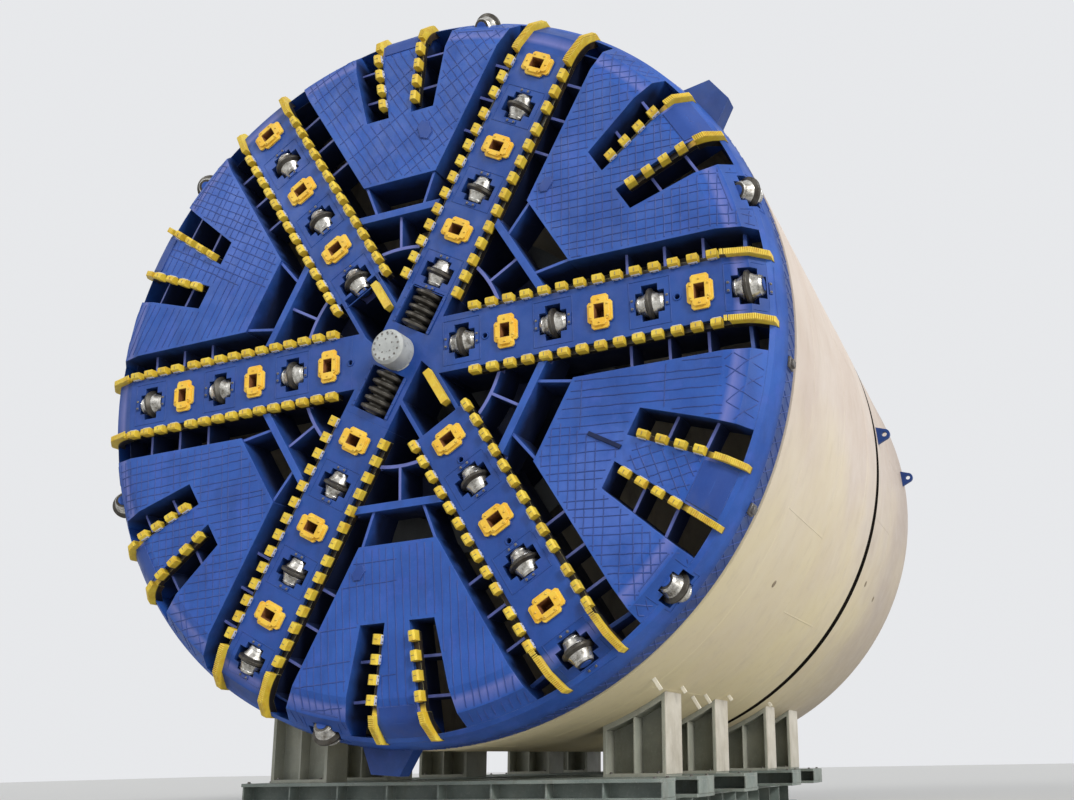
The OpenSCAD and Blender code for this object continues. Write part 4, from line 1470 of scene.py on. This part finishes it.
@dataclass
class RipperBoxes:
    """Sleeves, bolts and weld beads of the ripper boxes, and the washers of the small ports."""

    layout: Layout
    sleeve: Finish
    bolt: Finish
    bead: Finish
    hole: Point2 = (0.150, 0.210)
    top: float = 0.025
    corner: float = 0.028
    wall: float = 0.007
    depths: Point2 = (0.034, 0.286)
    foot_depth: float = 0.088
    bolt_spots: tuple[Point2, ...] = (
        (0.121, 0.085), (0.121, -0.085), (-0.121, 0.085), (-0.121, -0.085), (0.0, 0.165), (0.0, -0.165))
    foot: tuple[Point2, ...] = (
        (0.184, -0.154), (0.184, 0.154), (0.129, 0.154), (0.129, 0.249), (-0.129, 0.249),
        (-0.129, 0.154), (-0.184, 0.154), (-0.184, -0.154), (-0.129, -0.154), (-0.129, -0.249),
        (0.129, -0.249), (0.129, -0.154))
    port: tuple[Point2, ...] = (
        (-0.002, 0.037), (0.008, 0.037), (0.012, 0.042), (0.012, 0.052), (0.006, 0.058), (-0.002, 0.058))

    def build(self) -> None:
        """Dress the boxes of all arms."""
        lay = self.layout
        sleeves, bolts, beads = Shape(), Shape(), Shape()
        for k, tools in enumerate(TOOLS, 1):
            arm = lay.arm(k)
            for r in tools.places(lay.rim_r, True):
                self.box(sleeves, bolts, beads, arm.moved(r, 0, 0))
            for r in tools.ports:
                beads.turned(arm.forwards(r, lay.face_depth, 0), self.port, 32, True)
        sleeves.piece("ripper_sleeves", self.sleeve, Body.HEAD)
        bolts.piece("ripper_bolts", self.bolt, Body.HEAD)
        beads.piece("beads_ripper", self.bead, Body.HEAD, BEAD_SMOOTH_DEG)

    def box(self, sleeves: Shape, bolts: Shape, beads: Shape, place: Place) -> None:
        """Dress one ripper box.

        Args:
            sleeves: Where the dark lining goes.
            bolts: Where the bolts go.
            beads: Where the foot's weld goes.
            place: Frame at the box's middle, in the tips' plane.
        """
        a, b = self.hole[0] / 2, self.hole[1] / 2
        t = self.wall
        y0, y1 = self.depths
        walls = ((-a - 0.001, -b, -a + t, b), (a - t, -b, a + 0.001, b),
                 (-a, -b - 0.001, a, -b + t), (-a, b - t, a, b + 0.001))
        for u0, n0, u1, n1 in walls:
            sleeves.block(place, (u0, y0, n0), (u1, y1, n1), 0.002)
        sleeves.block(place, (-a + 0.012, 0.255, -b + 0.012), (a - 0.012, 0.289, b - 0.012), 0.006)
        for u, n in self.bolt_spots:
            bolts.bolt(place.forwards(u, self.top, n), 0.012, 0.012)
        corners = self.cut_corners(self.foot)
        y = self.foot_depth
        for p, q in zip(corners, [*corners[1:], corners[0]]):
            path = [(place.at(p[0] + (q[0] - p[0]) * i / 2, y, p[1] + (q[1] - p[1]) * i / 2), -place.y)
                    for i in range(3)]
            beads.bead(path, 0.016, 0.009)

    def cut_corners(self, outline: Sequence[Point2]) -> list[Point2]:
        """Return the outline with its outer corners cut off.

        Args:
            outline: Corners of the box's cross-shaped foot, in counter-clockwise order.
        """
        corners: list[Point2] = []
        for p, q, r in zip((outline[-1], *outline[:-1]), outline, (*outline[1:], outline[0])):
            before, after = Vector(q) - Vector(p), Vector(r) - Vector(q)
            if before.x * after.y - before.y * after.x < 0:
                corners.append(q)
                continue
            corners.append(tuple(Vector(q) - before.normalized() * self.corner))
            corners.append(tuple(Vector(q) + after.normalized() * self.corner))
        return corners


@dataclass
class HubDress:
    """Socket bolts of the hub's cap, the weld at its foot and the frames of the centre slots."""

    layout: Layout
    dark: Finish
    bead: Finish
    frame: Finish
    cap_r: float = 0.260
    proud: float = 0.220
    slots: tuple[Point2, ...] = ((0.400, 1.020), (-0.950, -0.280))
    slot_half_w: float = 0.285
    sockets: tuple[tuple[int, float, float], ...] = ((14, 0.196, 0.014), (5, 0.105, 0.010))
    free_of_slots: float = 0.18

    def build(self) -> None:
        """Dress the hub."""
        lay = self.layout
        sockets, beads, frames = Shape(), Shape(), Shape()
        axis = Place(lay.centre, Vector((0, -1, 0)), Vector((1, 0, 0)), Vector((0, 0, 1)))
        for count, ring, size in self.sockets:
            profile = [(0, size * 1.3), (0.003, size * 1.25), (0.003, size), (0.0015, size * 0.9)]
            for spot in axis.ring(self.proud - 0.001, ring, count, 0.3):
                sockets.turned(spot, profile, 12)
        sockets.piece("cap_sockets", self.dark, Body.HEAD)
        foot = []
        for i in range(49):
            a = 2 * math.pi * i / 48
            out = axis.y * math.cos(a) + axis.z * math.sin(a)
            point = axis.at(-lay.face_depth + 0.004, 0, 0) + out * (self.cap_r + 0.005)
            foot.append((point, (out + axis.x).normalized()))
        arm = lay.arm(1)
        for span in (foot[i:i + 7] for i in range(0, 42, 6)):
            middle = span[3][0] - axis.origin
            if abs(middle.dot(arm.z)) > self.free_of_slots:
                beads.bead(span, 0.022, 0.010)
        for u0, u1 in self.slots:
            self.slot_frame(frames, arm, u0, u1)
        beads.piece("beads_cap", self.bead, Body.HEAD, BEAD_SMOOTH_DEG)
        frames.piece("slot_frames", self.frame, Body.HEAD)

    def slot_frame(self, shape: Shape, place: Place, u0: float, u1: float) -> None:
        """Add the raised edge plates along a centre slot.

        Args:
            shape: Where they go.
            place: Frame of arm 1.
            u0: The slot's inner end.
            u1: The slot's outer end.
        """
        y0, y1 = self.layout.face_depth - 0.018, self.layout.face_depth + 0.001
        w = self.slot_half_w
        for s in (-1, 1):
            low, high = sorted((s * (w + 0.004), s * (w + 0.054)))
            shape.block(place, (u0 + 0.012, y0, low), (u1 - 0.012, y1, high), 0.005)
            for i in range(4):
                u = u0 + (u1 - u0) * (i + 0.5) / 4
                shape.bolt(place.forwards(u, y0, s * (w + 0.029)), 0.010, 0.010)


@dataclass
class WearPlates:
    """Smooth plates on the panels: lifting points, bars and the plates at the strips' outer ends."""

    layout: Layout
    plate: Finish
    bead: Finish
    dark: Finish
    spots: tuple[tuple[int, float, float, float, float], ...] = (
        (1, 3.120, 0.610, 0.26, 20.0), (3, 3.130, -0.610, 0.26, -35.0), (6, 3.485, -0.442, 0.34, 15.0))
    outline: tuple[Point2, ...] = (
        (0.5, 0.0), (0.28, 0.30), (-0.28, 0.30), (-0.5, 0.0), (-0.28, -0.30), (0.28, -0.30))
    bar_panel: int = 2
    bar_u: float = 3.60
    end_from: float = 4.98

    def hexagon(self, plates: Shape, beads: Shape, place: Place, size: float, deg: float) -> None:
        """Add a long hexagon plate with a weld round it.

        Args:
            plates: Where the plate goes.
            beads: Where the weld goes.
            place: Frame at the plate's middle, in the tips' plane.
            size: Its length.
            deg: Its turn in the panel's plane.
        """
        a = math.radians(deg)
        spots = [((u * math.cos(a) - n * math.sin(a)) * size, (u * math.sin(a) + n * math.cos(a)) * size)
                 for u, n in self.outline]
        face = self.layout.face_depth
        points = [place.at(u, face + 0.001, n) for u, n in spots]
        points += [place.at(u, face - 0.014, n) for u, n in spots]
        points += [place.at(u * 0.95, face - 0.020, n * 0.95) for u, n in spots]
        faces = [tuple(range(6)), tuple(range(12, 18))]
        for level in (0, 6):
            for i in range(6):
                j = (i + 1) % 6
                faces.append((level + i, level + j, level + 6 + j, level + 6 + i))
        plates.add(points, faces)
        ring = [*spots, spots[0]]
        for p, q in zip(ring, ring[1:]):
            beads.bead([(place.at(u * 1.03, face, n * 1.03), -place.y) for u, n in (p, q)], 0.014, 0.009)

    def end_plate(self, shape: Shape, place: Place, steps: int = 6) -> None:
        """Add the smooth plate between the two blades at a strip's outer end.

        Args:
            shape: Where it goes.
            place: Frame of the panel.
            steps: Steps along the plate.
        """
        lay = self.layout
        u0, u1 = self.end_from, lay.rim_inner_r - 0.01
        points = []
        for i in range(steps + 1):
            u = u0 + (u1 - u0) * i / steps
            half = lay.slot_near(u) - 0.035
            for s in (-1, 1):
                for lift in (0.014, -0.002):
                    point, normal = lay.on_front(place, u, s * (half - (0.006 if lift > 0 else 0.0)))
                    points.append(point + normal * lift)
        faces: list[tuple[int, ...]] = [tuple(end + i for i in (0, 1, 3, 2)) for end in (0, 4 * steps)]
        for i in range(steps):
            a, b = 4 * i, 4 * (i + 1)
            faces += [(a, b, b + 2, a + 2), (a + 1, b + 1, b, a), (a + 2, b + 2, b + 3, a + 3),
                      (a + 1, a + 3, b + 3, b + 1)]
        shape.add(points, faces)

    def build(self) -> None:
        """Add all plates."""
        lay = self.layout
        plates, beads = Shape(), Shape()
        for k, u, n, size, deg in self.spots:
            self.hexagon(plates, beads, lay.panel(k).moved(u, 0, n), size, deg)
        for k in range(1, 7):
            self.end_plate(plates, lay.panel(k))
        strap = Shape()
        bar = lay.panel(self.bar_panel).moved(self.bar_u, lay.face_depth, 0.01)
        strap.block(bar, (-0.26, -0.022, -0.030), (0.26, 0.001, 0.030), 0.006)
        strap.piece("panel_bar", self.dark, Body.HEAD)
        plates.piece("wear_plates", self.plate, Body.HEAD)
        beads.piece("beads_plates", self.bead, Body.HEAD, BEAD_SMOOTH_DEG)


@dataclass
class ShieldDress:
    """Weld seams and port plugs of the shells, and a near-black band over the seam between them, a painted
    shadow of the joint's recess.
    """

    layout: Layout
    paint: Finish
    dark: Finish
    seam_shadow: Finish
    # Start and end, behind the seam, of the near-black band that paints the shadow of the joint's recess.
    seal: Point2 = (0.092, 0.350)
    weld: Point2 = (0.022, 0.004)
    hoops: tuple[float, ...] = (2.36, 4.72, 7.02, 10.35, 12.55)
    seams: tuple[Point3, ...] = (
        (38, 1.21, 2.36), (-24, 2.36, 4.72), (62, 2.36, 4.72), (12, 4.72, 7.02), (-38, 4.72, 7.02),
        (25, 7.02, 8.14), (48, 8.48, 10.35), (-12, 8.48, 10.35), (5, 10.35, 12.55))
    ports: tuple[Point2, ...] = ((3.4, -34.8), (9.3, -25.0), (10.6, -26.5))
    plug: tuple[Point2, ...] = (
        (-0.004, 0.060), (0.005, 0.060), (0.007, 0.055), (0.007, 0.036), (0.001, 0.030))

    def build(self) -> None:
        """Add the seams, the painted-shadow band at the seam and the plugs."""
        lay = self.layout
        welds, plugs, band = Shape(), Shape(), Shape()
        for y in self.hoops:
            places = [lay.turned_to(2 * i) for i in range(181)]
            welds.bead([(place.at(lay.shell_at(y), y, 0), place.x) for place in places], *self.weld)
        # Painted shadow: a thin near-black band on the tail just behind the seam stands in for the shade of
        # the joint's recess.
        y0, y1 = (lay.seam + edge for edge in self.seal)
        r = lay.tail_r
        band.hoop(lay.turned_to(0), [(r - 0.004, y0), (r + 0.006, y0), (r + 0.011, y0 + 0.02),
                                     (r + 0.011, y1 - 0.03), (r + 0.005, y1), (r - 0.004, y1)], 240)
        band.piece("seam_shadow_band", self.seam_shadow, Body.SHIELD, BEAD_SMOOTH_DEG)
        for deg, y0, y1 in self.seams:
            for turned in (deg, deg + 120, deg + 240):
                place = lay.turned_to(turned).moved(lay.shell_at(y0), 0, 0)
                path = [(place.at(0, y0 + (y1 - y0) * i / 4, 0), place.x) for i in range(5)]
                welds.bead(path, *self.weld)
        for y, start in self.ports:
            for i in range(3):
                plugs.turned(lay.turned_to(start + 120 * i).moved(lay.shell_at(y), y, 0), self.plug, 28)
        welds.piece("shield_welds", self.paint, Body.SHIELD, BEAD_SMOOTH_DEG)
        plugs.piece("shield_plugs", self.dark, Body.SHIELD)


@dataclass
class TailSeals:
    """Wire brushes that lean inwards between the tail's seal rings."""

    layout: Layout
    brush: Finish
    holder: Finish
    places: tuple[float, ...] = (12.650, 12.300, 11.950)
    height: float = 0.110

    def build(self) -> None:
        """Add the brush rings."""
        lay = self.layout
        r = lay.tail_r - lay.shell_t
        base = lay.turned_to(0)
        for i, y in enumerate(self.places, 1):
            brush, holder = Shape(), Shape()
            brush.hoop(base, [(r - 0.050, y + 0.125), (r - 0.056 - self.height, y + 0.235),
                              (r - 0.066 - self.height, y + 0.225), (r - 0.058, y + 0.118)], 180)
            brush.piece(f"tail_brush_{i}", self.brush, Body.SHIELD)
            holder.hoop(base, [(r - 0.054, y + 0.010), (r - 0.054, y + 0.128), (r - 0.072, y + 0.128),
                               (r - 0.072, y + 0.010)], 180)
            holder.piece(f"tail_seal_holder_{i}", self.holder, Body.SHIELD)


@dataclass
class DriveDress:
    """Motor fins, flange bolts, bulkhead ribs, hatch and gland rings inside the shield."""

    layout: Layout
    paint: Finish
    steel: Finish
    panel: Finish
    motor_count: int = 12
    motor_ring: float = 2.080
    motor_r: float = 0.240
    casing_back: float = 3.900
    gear_l: float = 0.280
    motor_l: float = 0.620
    flange_r: float = 2.710
    flange_back: float = 2.680
    thrust_count: int = 20
    thrust_ring: float = 5.150
    thrust_front: float = 7.990
    thrust_l: float = 2.300
    fin_first: float = 0.10
    fin_pitch: float = 0.048
    fin_count: int = 9
    rib_u: Point2 = (2.86, 5.38)
    rib_y: Point2 = (2.521, 2.760)
    gland: tuple[Point2, ...] = (
        (0, 0.168), (0, 0.182), (0.008, 0.186), (0.072, 0.186), (0.080, 0.182), (0.080, 0.168))

    def build(self) -> None:
        """Dress the drive, the bulkhead and the thrust cylinders."""
        self.motors()
        self.bulkhead()
        self.cylinders()

    def motors(self) -> None:
        """Add the fins and terminal boxes of the motors."""
        lay = self.layout
        fins, bolts, boxes = Shape(), Shape(), Shape()
        for i in range(self.motor_count):
            place = lay.turned_to(-i * 360 / self.motor_count)
            foot = place.backwards(self.motor_ring, self.casing_back + self.gear_l, 0)
            r = self.motor_r
            for j in range(self.fin_count):
                d = self.fin_first + j * self.fin_pitch
                fins.turned(foot, [(d, r + 0.016), (d + 0.008, r + 0.018), (d + 0.016, r + 0.016),
                                   (d + 0.016, r - 0.002), (d, r - 0.002)], 32, True)
            back = self.motor_l
            fins.turned(foot, [(back - 0.002, 0.205), (back + 0.018, 0.205), (back + 0.030, 0.180),
                               (back + 0.030, 0.060), (back + 0.018, 0.050)], 32)
            boxes.block(foot, (0.16, -0.330, -0.075), (0.40, -0.235, 0.075), 0.010)
            for spot in foot.ring(0.0, 0.268, 10, 0.5):
                bolts.bolt(spot, 0.016, 0.018)
        flange = Place(Vector((0, lay.tip_y + self.flange_back, lay.axis_z)), Vector((0, 1, 0)),
                       Vector((1, 0, 0)), Vector((0, 0, 1)))
        for spot in flange.ring(0, self.flange_r, 72):
            bolts.bolt(spot, 0.022, 0.026)
        fins.piece("motor_fins", self.paint, Body.SHIELD)
        boxes.piece("motor_terminal_boxes", self.panel, Body.SHIELD)
        bolts.piece("drive_bolts", self.steel, Body.SHIELD)

    def bulkhead(self) -> None:
        """Add the ribs behind the bulkhead and a hatch."""
        lay = self.layout
        ribs, hatch = Shape(), Shape()
        for i in range(24):
            place = lay.turned_to(15 * i + 7.5)
            low, high = zip(self.rib_u, self.rib_y)
            ribs.block(place, (*low, -0.020), (*high, 0.020), 0.004)
        spot = lay.turned_to(-90).moved(4.0, self.rib_y[0], 0.55)
        hatch.block(spot, (-0.36, 0.0, -0.28), (0.36, 0.045, 0.28), 0.01)
        for s in (-1, 1):
            for t in (-0.9, 0.9):
                hatch.bolt(spot.backwards(0.32 * s, 0.045, 0.26 * t), 0.018, 0.02)
        ribs.piece("bulkhead_ribs", self.paint, Body.SHIELD)
        hatch.piece("bulkhead_hatch", self.panel, Body.SHIELD)

    def cylinders(self) -> None:
        """Add the gland rings of the thrust cylinders."""
        rings = Shape()
        for i in range(self.thrust_count):
            place = self.layout.turned_to(-(i + 0.5) * 360 / self.thrust_count)
            foot = place.backwards(self.thrust_ring, self.thrust_front, 0)
            for start in (0.05, self.thrust_l - 0.10):
                rings.turned(foot, [(start + d, r) for d, r in self.gland], 32, True)
        rings.piece("cylinder_glands", self.steel, Body.SHIELD)


@dataclass
class CradleDress:
    """Pale flanges, bolts and plates of the cradle, and the tack plates on the shell over it."""

    layout: Layout
    flange: Finish
    steel: Finish
    paint: Finish
    saddle: Finish
    tabs: tuple[Point3, ...] = (
        (-56.1, 2.05, 0.20), (-56.8, 3.45, 0.11), (-58.6, 4.40, 0.24), (-57.7, 4.85, 0.17),
        (-56.9, 6.00, 0.11), (-57.0, 8.90, 0.10))
    plate_t: float = 0.050
    seat_rim: float = 0.030
    stations: tuple[tuple[float, float, int], ...] = (
        (1.5, 2.0, -1), (3.05, 3.8, 1), (5.6, 6.35, 1), (9.1, 9.8, 1), (11.1, 11.9, 1))
    inner_x: float = 1.900
    width: float = 1.000
    girder_h: float = 0.440
    beam_h: float = 0.300
    beam_half: float = 3.400
    seat_inset: Point2 = (0.12, 0.025)
    beam_inset: float = 0.1
    rib_half: float = 0.014
    joint_half: float = 0.029

    def build(self) -> None:
        """Dress all stations."""
        lay = self.layout
        flanges, bolts, tacks, ribs = Shape(), Shape(), Shape(), Shape()
        base = Place(Vector((0, lay.tip_y, 0)), Vector((1, 0, 0)), Vector((0, 1, 0)), Vector((0, 0, 1)))
        top = self.girder_h + self.beam_h
        for y0, y1, last in self.stations:
            r = lay.shell_at(y0)
            for side in range(-1, last + 1, 2):
                outer = self.inner_x + self.width
                seat = lay.axis_z - math.sqrt(r * r - outer * outer)
                low, high = sorted((side * (outer - 0.004), side * (outer + 0.014)))
                flanges.block(base, (low, y0 + 0.01, top + 0.03), (high, y1 - 0.01, seat + 0.10), 0.004)
                dx, dy = self.seat_inset
                for x in (self.inner_x + dx, outer - dx):
                    for y in (y0 + dy, y1 - dy):
                        bolts.bolt(base.upwards(side * x, y, top + 0.05), 0.022, 0.024)
                middle = self.inner_x + self.width / 2
                under = r + self.plate_t + self.seat_rim
                roof = lay.axis_z - math.sqrt(under * under - middle * middle)
                low, high = sorted((side * (middle - self.rib_half), side * (middle + self.rib_half)))
                half = (y0 + y1) / 2
                gap = self.joint_half
                for front, rear in ((y0 + 0.012, half - gap), (half + gap, y1 - 0.012)):
                    ribs.block(base, (low, front, top + self.plate_t - 0.002), (high, rear, roof + 0.006),
                               0.004)
            for x in (-self.beam_half + self.beam_inset, self.beam_half - self.beam_inset):
                for y in (y0, y1):
                    bolts.bolt(base.upwards(x, y, top), 0.024, 0.026)
        for deg, y, length in self.tabs:
            for turned in (deg, 180 - deg):
                place = lay.turned_to(turned).moved(lay.shell_at(y), y, 0)
                tacks.block(place, (-0.003, -0.012, -0.030), (length, 0.012, 0.030), 0.004)
                for s in (-1, 1):
                    out = (place.x + place.y * s).normalized()
                    path = [(place.at(0.003, s * 0.016, n), out) for n in (-0.028, 0.0, 0.028)]
                    tacks.bead(path, 0.014, 0.007)
        ribs.piece("saddle_ribs", self.saddle, Body.SHIELD)
        flanges.piece("saddle_flanges", self.flange, Body.SHIELD)
        bolts.piece("cradle_bolts", self.steel, Body.SHIELD)
        tacks.piece("tack_plates", self.paint, Body.SHIELD)


@dataclass
class Studio:
    """Pale floor, soft light, and the camera from which the machine is shown."""

    layout: Layout
    floor: Colour = (0.60, 0.59, 0.57)
    sky: Colour = (0.90, 0.95, 1.0)
    backdrop: Colour = (0.80, 0.81, 0.83)
    sky_strength: float = 0.50
    lamps: tuple[tuple[str, float, float, Point3], ...] = (
        ("key", 2.0, 0.25, (-0.72, 0.45, -0.52)), ("fill", 0.65, 0.5, (0.45, 0.70, -0.55)),
        ("side", 0.8, 0.6, (-0.90, 0.42, -0.10)))
    azimuth_deg: float = -19.122
    elevation_deg: float = 12.84
    roll_deg: float = -1.062
    offset: Point3 = (8.380, -12.276, -5.744)
    focal_px: float = 1072.49
    centre_px: Point2 = (671.54, 515.55)
    image_px: Point2 = (1074, 800)
    floor_half: float = 90.0
    sensor: float = 36

    def build(self) -> None:
        """Set up the floor, lights and camera."""
        self.ground()
        self.air()
        self.lights()
        self.camera()
        bpy.context.scene.view_settings.view_transform = "Standard"

    def ground(self) -> None:
        """Lay the floor."""
        mesh = bpy.data.meshes.new("floor")
        size = self.floor_half
        corners = [(-size, -size, 0), (size, -size, 0), (size, size, 0), (-size, size, 0)]
        mesh.from_pydata(corners, [], [(0, 1, 2, 3)])
        recipe = Recipe("studio_floor")
        recipe.set("Base Color", self.floor)
        recipe.set("Roughness", 0.6)
        mesh.materials.append(recipe.material)
        floor = bpy.data.objects.new("floor", mesh)
        bpy.context.scene.collection.objects.link(floor)

    def air(self) -> None:
        """Set the sky's light, and the backdrop that the camera sees in its place."""
        world = bpy.data.worlds.new("sky")
        world.use_nodes = True
        nodes = Nodes(world.node_tree)
        light = world.node_tree.nodes["Background"]
        nodes.link(self.sky, light.inputs["Color"])
        nodes.link(self.sky_strength, light.inputs["Strength"])
        seen = nodes.node("Background", {"Color": self.backdrop})
        rays = nodes.node("LightPath", {}).outputs
        direct = nodes.math("MAXIMUM", rays["Is Camera Ray"], rays["Is Glossy Ray"])
        share = nodes.math("MAXIMUM", direct, rays["Is Transmission Ray"])
        mix = nodes.node("MixShader", {0: share, 1: light.outputs[0], 2: seen.outputs[0]})
        nodes.link(mix.outputs[0], world.node_tree.nodes["World Output"].inputs[0])
        bpy.context.scene.world = world

    def lights(self) -> None:
        """Add a soft key light from high in front, a fill and a low side light."""
        for name, energy, angle, target in self.lamps:
            sun = bpy.data.lights.new(name, "SUN")
            sun.energy = energy
            sun.angle = angle
            lamp = bpy.data.objects.new(name, sun)
            lamp.rotation_mode = "QUATERNION"
            lamp.rotation_quaternion = Vector(target).to_track_quat("-Z", "Y")
            bpy.context.scene.collection.objects.link(lamp)

    def camera(self) -> None:
        """Place the camera."""
        az, el, roll = (math.radians(d) for d in (self.azimuth_deg, self.elevation_deg, self.roll_deg))
        forward = Vector((math.sin(az) * math.cos(el), math.cos(az) * math.cos(el), math.sin(el)))
        level = Vector((math.cos(az), -math.sin(az), 0))
        above = level.cross(forward)
        right = level * math.cos(roll) + above * math.sin(roll)
        up = above * math.cos(roll) - level * math.sin(roll)
        spot = Vector(self.offset) + self.layout.centre
        data = bpy.data.cameras.new("camera")
        data.sensor_width = self.sensor
        data.lens = self.sensor * self.focal_px / self.image_px[0]
        data.shift_x = (self.image_px[0] / 2 - self.centre_px[0]) / self.image_px[0]
        data.shift_y = (self.centre_px[1] - self.image_px[1] / 2) / self.image_px[0]
        data.clip_end = 500
        camera = bpy.data.objects.new("camera", data)
        bpy.context.scene.collection.objects.link(camera)
        rows = [(right[i], up[i], -forward[i], spot[i]) for i in range(3)]
        camera.matrix_world = Matrix((*rows, (0, 0, 0, 1)))
        bpy.context.scene.camera = camera


@dataclass
class Machine:
    """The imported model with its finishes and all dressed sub-assemblies."""

    loaded: dict
    layout: Layout = field(init=False)
    palette: Palette = field(init=False)

    def __post_init__(self) -> None:
        """Read the turning axis and mix the finishes."""
        turn = next(j for j in self.loaded["joints"] if j["name"] == "cutterhead_turn")
        self.layout = Layout(Vector(turn["pos_m"]))
        self.palette = Palette(self.layout)

    def paint(self) -> None:
        """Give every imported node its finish."""
        for entry in self.loaded["record"]["subparts"]:
            name = entry["node"]
            finish = self.palette.of_node(name, entry["material_slot"])
            obj = self.loaded["nodes"][name]
            obj.data.materials.clear()
            obj.data.materials.append(finish.material())
            LOG.info("%s painted with %s", name, finish.name)

    def parts(self) -> list:
        """Return the sub-assemblies in building order."""
        lay, mix = self.layout, self.palette
        joints = self.loaded["joints"]
        return [Hardfacing(lay, mix.bead),
                RimBeads(lay, mix.bead),
                RimBlocks(lay, mix.bolt, mix.bead),
                RimBlades(lay, mix.yellow),
                Scrapers(lay, mix.flank, mix.bolt),
                Cutters(joints, mix.bright),
                PocketFrames(lay, joints, mix.arm, mix.arm, mix.bolt),
                RipperBoxes(lay, mix.rust, mix.ripper, mix.arm),
                HubDress(lay, mix.bolt, mix.cap, mix.arm),
                WearPlates(lay, mix.plate, mix.bead, mix.strap),
                ShieldDress(lay, mix.cream, mix.port, mix.seam),
                TailSeals(lay, mix.bristle, mix.cradle),
                DriveDress(lay, mix.machine, mix.bolt, mix.drive),
                CradleDress(lay, mix.flange, mix.bolt, mix.tab, mix.saddle)]

    def build(self) -> None:
        """Build every sub-assembly in turn."""
        self.paint()
        for part in self.parts():
            LOG.info("building %s", type(part).__name__)
            part.build()


def main() -> None:
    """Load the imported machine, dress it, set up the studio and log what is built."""
    logging.basicConfig(level=logging.INFO, format="%(name)s: %(message)s")
    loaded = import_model()
    machine = Machine(loaded)
    machine.build()
    Studio(machine.layout).build()


if __name__ == "__main__":
    main()
